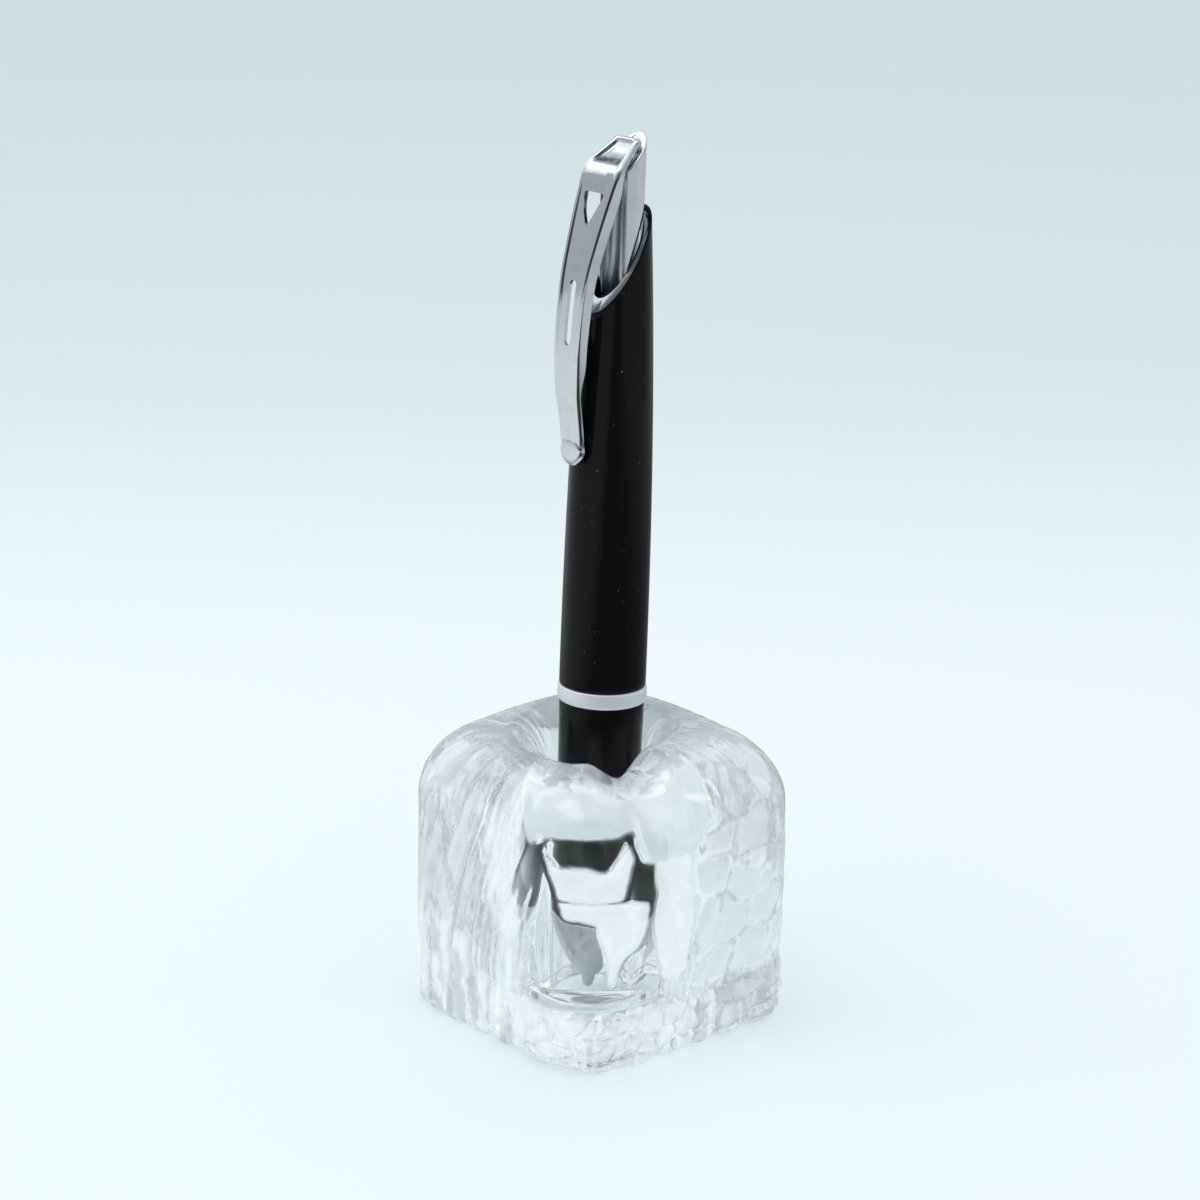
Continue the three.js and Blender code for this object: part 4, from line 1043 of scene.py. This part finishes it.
def clip_stations(sizes, low, top, shoulder, pad_reach, root_reach):
    """Stations down the clip: distance from the axis, height, width, flange depth and panel depth, in mm."""
    pad = low + PAD_HALF_LENGTH
    plain = sizes.thickness + 0.12
    wide = sizes.shoulder_width
    mid = sizes.mid_width

    def fall(share):
        return shoulder + (pad - shoulder) * share

    def climb(share):
        return shoulder + (top - shoulder) * share

    return [
        (root_reach, top - 6, sizes.root_width, plain, 0),
        (root_reach, top - 1.3, sizes.root_width, plain, 0),
        (root_reach + 0.55, climb(0.94), sizes.root_width * 1.25, plain, 0),
        (-0.7, top, sizes.tongue_width * 0.97, plain, 0.05),
        (0.2, climb(0.83), sizes.tongue_width, plain + 0.2, sizes.tray),
        (1.9, climb(0.45), (sizes.tongue_width + wide) / 2, plain + 0.2, sizes.tray),
        (3.4, climb(0.1), wide * 0.97, plain + 0.4, 0.1),
        (4.1, fall(0.025), wide, sizes.flange * 0.7, 0),
        (5.0, fall(0.09), wide * 0.96, sizes.flange, sizes.panel * 0.7),
        (6.8, fall(0.24), wide + (mid - wide) * 0.6, sizes.flange, sizes.panel),
        (sizes.reach - 0.75, fall(0.39), mid, sizes.flange, sizes.panel),
        (sizes.reach, fall(0.6), mid * 0.95, sizes.flange * 0.9, sizes.panel),
        (sizes.reach - 0.05, fall(0.7), mid * 0.92, sizes.flange * 0.8, sizes.panel * 0.6),
        (sizes.reach - 0.3, fall(0.79), mid * 0.88, plain, 0),
        (sizes.reach - 0.95, fall(0.885), sizes.end_width * 1.05, plain, 0),
        (pad_reach + 0.5, fall(0.985), sizes.end_width * 0.95, plain, 0),
        (pad_reach + 0.25, fall(1.02), sizes.end_width * 0.6, plain, 0),
    ]


def clip_rings(sizes, stations, tube_top, top):
    """Cross sections down the clip in mm, and at each of their points how dull the chrome is and how much
    shade is painted on it.
    """
    run = through_stations(stations, 300)
    way = np.gradient(run[:, :2], axis=0)
    way /= np.linalg.norm(way, axis=1)[:, None]
    rings = []
    dullness_and_shade = []
    for (reach, height, width, flange, panel), (step_reach, step_height) in zip(run, way):
        section = clip_section(width, flange, panel, sizes)
        rings.append(np.column_stack([
            section[:, 0],
            -(reach + step_height * section[:, 1]),
            height - step_reach * section[:, 1],
        ]))
        climbed = (height - tube_top) / SHOULDER_DROP + 1
        # Duller chrome and painted shade in the sunk tray of the slanted top, most at its foot just above the
        # shoulder
        tray = 0.5 * smoothstep(panel, 0.05, 0.4) * (climbed > 0)
        bend_dullness_and_shade = 0.5 * math.exp(-((climbed - 0.2) / 0.16) ** 2)
        between_edges = np.abs(section[:, 0]) < width / 2 - sizes.edge
        dullness_and_shade.append((tray + bend_dullness_and_shade) * (between_edges & (section[:, 1] < sizes.thickness)))
    rings = np.array(rings)
    rings[:, :, 2] -= max(0.0, rings[:, :, 2].max() - top + 0.02)
    return rings, dullness_and_shade


def pad_rings(half_width, reach, middle):
    """The rounded pad at the foot of the clip, as rings from below its middle to above it, in mm."""
    turns = np.linspace(0, 2 * math.pi, 48, endpoint=False)
    full_cos = np.sign(np.cos(turns)) * np.abs(np.cos(turns)) ** 0.6
    full_sin = np.sign(np.sin(turns)) * np.abs(np.sin(turns)) ** 0.6
    rings = []
    for lift in np.linspace(-math.pi / 2, math.pi / 2, 25)[1:-1]:
        wide = math.cos(lift)
        rings.append(np.column_stack([
            half_width * wide * full_cos,
            -reach + PAD_HALF_DEPTH * wide ** 0.6 * full_sin,
            np.full(len(turns), middle + PAD_HALF_LENGTH * math.sin(lift)),
        ]))
    return np.array(rings)


def clip_openings(sizes, shoulder, pad_middle):
    """Outlines of the three-cornered window and the round-ended slot below it, as (across, height) in mm."""
    top = shoulder - 3.6
    half = sizes.window_width / 2
    window = rounded([
        (-half, top),
        (half, top),
        (half * 0.42, top - sizes.window_length * 0.62),
        (0.0, top - sizes.window_length),
        (-half * 0.62, top - sizes.window_length * 0.55),
    ], 0.7, 6)
    slot_top = shoulder + (pad_middle - shoulder) * 0.39
    slot_foot = slot_top - sizes.slot_length
    half = sizes.slot_width / 2
    arc = np.linspace(0, math.pi, 14)
    slot = [(half * math.cos(t), slot_top - half + half * math.sin(t)) for t in arc]
    slot += [(-half * math.cos(t), slot_foot + half - half * math.sin(t)) for t in arc]
    return {"window": window, "slot": slot}


def prism(name, outline, material):
    """A cutter: an outline of (across, height) in mm run along -Y from the pen's axis past the clip."""
    outline = np.asarray(outline)
    near_face = np.column_stack([outline[:, 0], np.zeros(len(outline)), outline[:, 1]])
    vertices, faces = skin(np.array([near_face, near_face - (0, PRISM_DEPTH, 0)]) * MM)
    return piece_from(name, pen_to_world(vertices), faces, material)


class PENHOLDER_OT_clip(bpy.types.Operator):
    """Press the chrome clip with its slanted top, window, slot and rounded pad"""

    bl_idname = "pen_holder.clip"
    bl_label = "Clip"

    def execute(self, context):
        sizes = context.scene.pen_holder_clip
        pen = context.scene.pen_holder_pen
        chrome = bright_chrome(context.scene.pen_holder_colours.chrome, "pressed chrome")
        low, high, _ = pen_span("clip")
        _, tube_top, tube_radius = pen_span("cap_tube")
        foot, _, foot_radius = pen_span("upper_barrel")
        pad_middle = low + PAD_HALF_LENGTH * MM
        barrel = upper_radius(pen, pad_middle, foot, foot_radius) / MM
        pad_reach = barrel + BARREL_GAP + PAD_HALF_DEPTH
        root_reach = 0.2 + pen.tube_wall + 0.25 - tube_radius / MM
        shoulder = tube_top / MM - SHOULDER_DROP
        stations = clip_stations(sizes, low / MM, high / MM, shoulder, pad_reach, root_reach)
        rings, dullness_and_shade = clip_rings(sizes, stations, tube_top / MM, high / MM)
        clip = pen_piece("pressed_clip", rings * MM, chrome, "pen_clip", closed=False)
        # The level dulls the chrome and paints shade on it
        mark_points(clip, "inside", dullness_and_shade)

        vertices, faces = skin(pad_rings(sizes.end_width / 2, pad_reach, pad_middle / MM) * MM)
        pad = piece_from("pad", pen_to_world(vertices), faces, chrome)
        cut_with(clip, [pad], "UNION")
        openings = clip_openings(sizes, shoulder, pad_middle / MM)
        cut_with(clip, [prism(name, outline, chrome) for name, outline in openings.items()])
        smooth_by_angle(clip.data, 35)
        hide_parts("clip")
        return {"FINISHED"}


class PENHOLDER_OT_mechanism(bpy.types.Operator):
    """Give the refill, spring, bushes and twist mechanism their finishes"""

    bl_idname = "pen_holder.mechanism"
    bl_label = "Refill and mechanism"

    def execute(self, context):
        colours = context.scene.pen_holder_colours
        brass = turned_brass()
        finishes = {
            "refill_ball": bright_chrome((0.6, 0.61, 0.63), "tungsten ball"),
            "refill_tip": satin_metal(colours.silver, "nickel silver tip"),
            "refill_tube": brass,
            "refill_crown": moulded_plastic("grey moulded crown", (0.2, 0.21, 0.22)),
            "return_spring": spring_wire(),
            "front_bush": brass,
            "rear_bush": brass,
            "mechanism_housing": brass,
            "cam_carrier": moulded_plastic("white acetal", (0.82, 0.81, 0.77)),
            "twist_cam": moulded_plastic("white acetal cam", (0.80, 0.79, 0.76)),
            "drive_plug": moulded_plastic("grey moulded plug", (0.16, 0.165, 0.175)),
        }
        for name, material in finishes.items():
            data = frame["nodes"][name].data
            data.materials.clear()
            data.materials.append(material)
        return {"FINISHED"}


# Stage

TOWARD_CAMERA = Vector((math.sin(VIEW_BEARING), -math.cos(VIEW_BEARING), 0))
SIDEWAYS = Vector((math.cos(VIEW_BEARING), math.sin(VIEW_BEARING), 0))
CAMERA_DISTANCE = 0.4416
CAMERA_HEIGHT = 0.1911
CAMERA_ASIDE = 0.00022
CAMERA_PITCH = math.radians(16.1)
LAMP_PLACE = Vector((-0.15, -0.35, 0.9))
LAMP_AIM = Vector((0, 0, 0.06))
BRIGHT_PANEL = Vector((-0.76, -0.25, 0.60)).normalized()
FLOOR_REACH = 12.0
FLOOR_DROP = 0.0002


def floor_paper(colours):
    """Pale paper with painted shade that darkens it far behind; mirrors see a painted reflection of a dim
    room with a bright floor to either side instead.
    """
    finish = new_finish("pale paper floor")
    where = finish.node("ShaderNodeNewGeometry").outputs["Position"]
    behind = finish.vectors("DOT_PRODUCT", "Value", where, -TOWARD_CAMERA)
    leftward = finish.vectors("DOT_PRODUCT", "Value", where, -SIDEWAYS)
    away = finish.vectors("LENGTH", "Value", where)
    # Painted shade: the paper darkens from the floor colour to the backdrop colour behind the object
    paper = finish.mix(behind.smooth(0.12, 0.5), colours.floor_near, colours.floor_far)
    dim = finish.mix(behind.smooth(-0.2, 0.1), (0.03, 0.03, 0.032), (0.24, 0.27, 0.28))
    either_side = leftward.smooth(0.06, 0.22) + (0 - leftward).smooth(0.15, 0.4) * 0.75
    unlit = finish.mix(either_side, dim, (0.72, 0.75, 0.76))
    mirrored = finish.ray("Glossy") * (1 - finish.ray("Transmission"))
    return finish.opaque({
        "Base Color": finish.mix(away.smooth(0.03, 0.13) * mirrored, paper, unlit),
        "Roughness": 0.9,
        "Specular IOR Level": 0.0,
    })


def soft_studio(colours):
    """A pale sky; in mirrors the front is dark under one bright panel to the upper left."""
    studio = Finish(bpy.data.worlds.new("soft studio"))
    direction = studio.node("ShaderNodeTexCoord").outputs["Generated"]
    up = studio.value("ShaderNodeSeparateXYZ", "Z", None, {"Vector": direction})
    front = studio.vectors("DOT_PRODUCT", "Value", direction, TOWARD_CAMERA).smooth(0.2, 0.8)
    panel = studio.vectors("DOT_PRODUCT", "Value", direction, BRIGHT_PANEL).smooth(0.93, 0.965)
    through = studio.ray("Transmission")
    dark = studio.mix(up.smooth(0.55, 0.8), (0.4, 0.43, 0.445), (0.8, 0.82, 0.83))
    unlit = studio.mix(front * (1 - up.smooth(0.3, 0.7)), dark, (0.03, 0.032, 0.034))
    gloss = studio.mix(panel, unlit, (1.3, 1.32, 1.33))
    pale = studio.mix(up.smooth(0.0, 0.6), (0.81, 0.865, 0.88), (0.95, 0.965, 0.97))
    sky = studio.mix(up.smooth(0.05, 0.75), (0.88, 0.90, 0.91), (0.82, 0.83, 0.83))
    # The camera sees the sky in the far floor's colour, with its painted shade
    lit = studio.mix(studio.ray("Camera"), sky, colours.floor_far)
    seen = studio.mix(through, lit, pale)
    room = studio.mix(studio.ray("Glossy") * (1 - through), seen, gloss)
    background = studio.node("ShaderNodeBackground", None, {"Color": room, "Strength": 1.0}).outputs[0]
    studio.node("ShaderNodeOutputWorld", None, {"Surface": background})
    return studio.owner


def stand(name, data, place, look=None):
    """Puts an object in the scene, with its -Z axis along look where that is given."""
    item = bpy.data.objects.new(name, data)
    bpy.context.scene.collection.objects.link(item)
    item.location = place
    if look is not None:
        item.rotation_mode = "QUATERNION"
        item.rotation_quaternion = look.to_track_quat("-Z", "Y")
    return item


class PENHOLDER_OT_stage(bpy.types.Operator):
    """Set up the pale floor, the soft studio light and the camera"""

    bl_idname = "pen_holder.stage"
    bl_label = "Studio"

    def execute(self, context):
        scene = context.scene
        colours = scene.pen_holder_colours
        scene.view_settings.view_transform = "Standard"
        scene.world = soft_studio(colours)

        floor_data = bpy.data.meshes.new("floor")
        ends = ((-1, -1), (1, -1), (1, 1), (-1, 1))
        floor_data.from_pydata([(x * FLOOR_REACH, y * FLOOR_REACH, 0) for x, y in ends], [], [(0, 1, 2, 3)])
        floor_data.materials.append(floor_paper(colours))
        floor = stand("floor", floor_data, (0, 0, -FLOOR_DROP))

        lamp = bpy.data.lights.new("overhead softbox", "AREA")
        lamp.shape = "RECTANGLE"
        lamp.size = 0.7
        lamp.size_y = 0.5
        lamp.energy = 1.9
        stand("overhead softbox", lamp, LAMP_PLACE, LAMP_AIM - LAMP_PLACE)

        camera = bpy.data.cameras.new("camera")
        camera.sensor_width = 36.0
        camera.lens = 94.2
        camera.clip_start = 0.01
        place = TOWARD_CAMERA * CAMERA_DISTANCE - SIDEWAYS * CAMERA_ASIDE + Vector((0, 0, CAMERA_HEIGHT))
        look = -TOWARD_CAMERA * math.cos(CAMERA_PITCH) - Vector((0, 0, math.sin(CAMERA_PITCH)))
        scene.camera = stand("camera", camera, place, look)
        return {"FINISHED"}


OPERATORS = (
    PENHOLDER_OT_stage,
    PENHOLDER_OT_glass_block,
    PENHOLDER_OT_barrels,
    PENHOLDER_OT_centre_ring,
    PENHOLDER_OT_nose_cone,
    PENHOLDER_OT_cap_tube,
    PENHOLDER_OT_clip,
    PENHOLDER_OT_mechanism,
)


class PENHOLDER_PT_sidebar(bpy.types.Panel):
    """Lists the steps that build the pen holder"""

    bl_idname = "PENHOLDER_PT_sidebar"
    bl_label = "Glass Pen Holder"
    bl_space_type = "VIEW_3D"
    bl_region_type = "UI"
    bl_category = "Pen Holder"

    def draw(self, context):
        for operator in OPERATORS:
            self.layout.operator(operator.bl_idname)


GROUPS = {
    "pen_holder_block": BlockSizes,
    "pen_holder_pen": PenSizes,
    "pen_holder_clip": ClipSizes,
    "pen_holder_colours": FinishColours,
}
CLASSES = (*GROUPS.values(), *OPERATORS, PENHOLDER_PT_sidebar)


def register():
    for kind in CLASSES:
        bpy.utils.register_class(kind)
    for name, group in GROUPS.items():
        setattr(bpy.types.Scene, name, PointerProperty(type=group))


def unregister():
    for name in GROUPS:
        delattr(bpy.types.Scene, name)
    for kind in reversed(CLASSES):
        bpy.utils.unregister_class(kind)


def main():
    register()
    bpy.ops.pen_holder.stage()
    bpy.ops.pen_holder.glass_block()
    bpy.ops.pen_holder.barrels()
    bpy.ops.pen_holder.centre_ring()
    bpy.ops.pen_holder.nose_cone()
    bpy.ops.pen_holder.cap_tube()
    bpy.ops.pen_holder.clip()
    bpy.ops.pen_holder.mechanism()


if __name__ == "__main__":
    main()
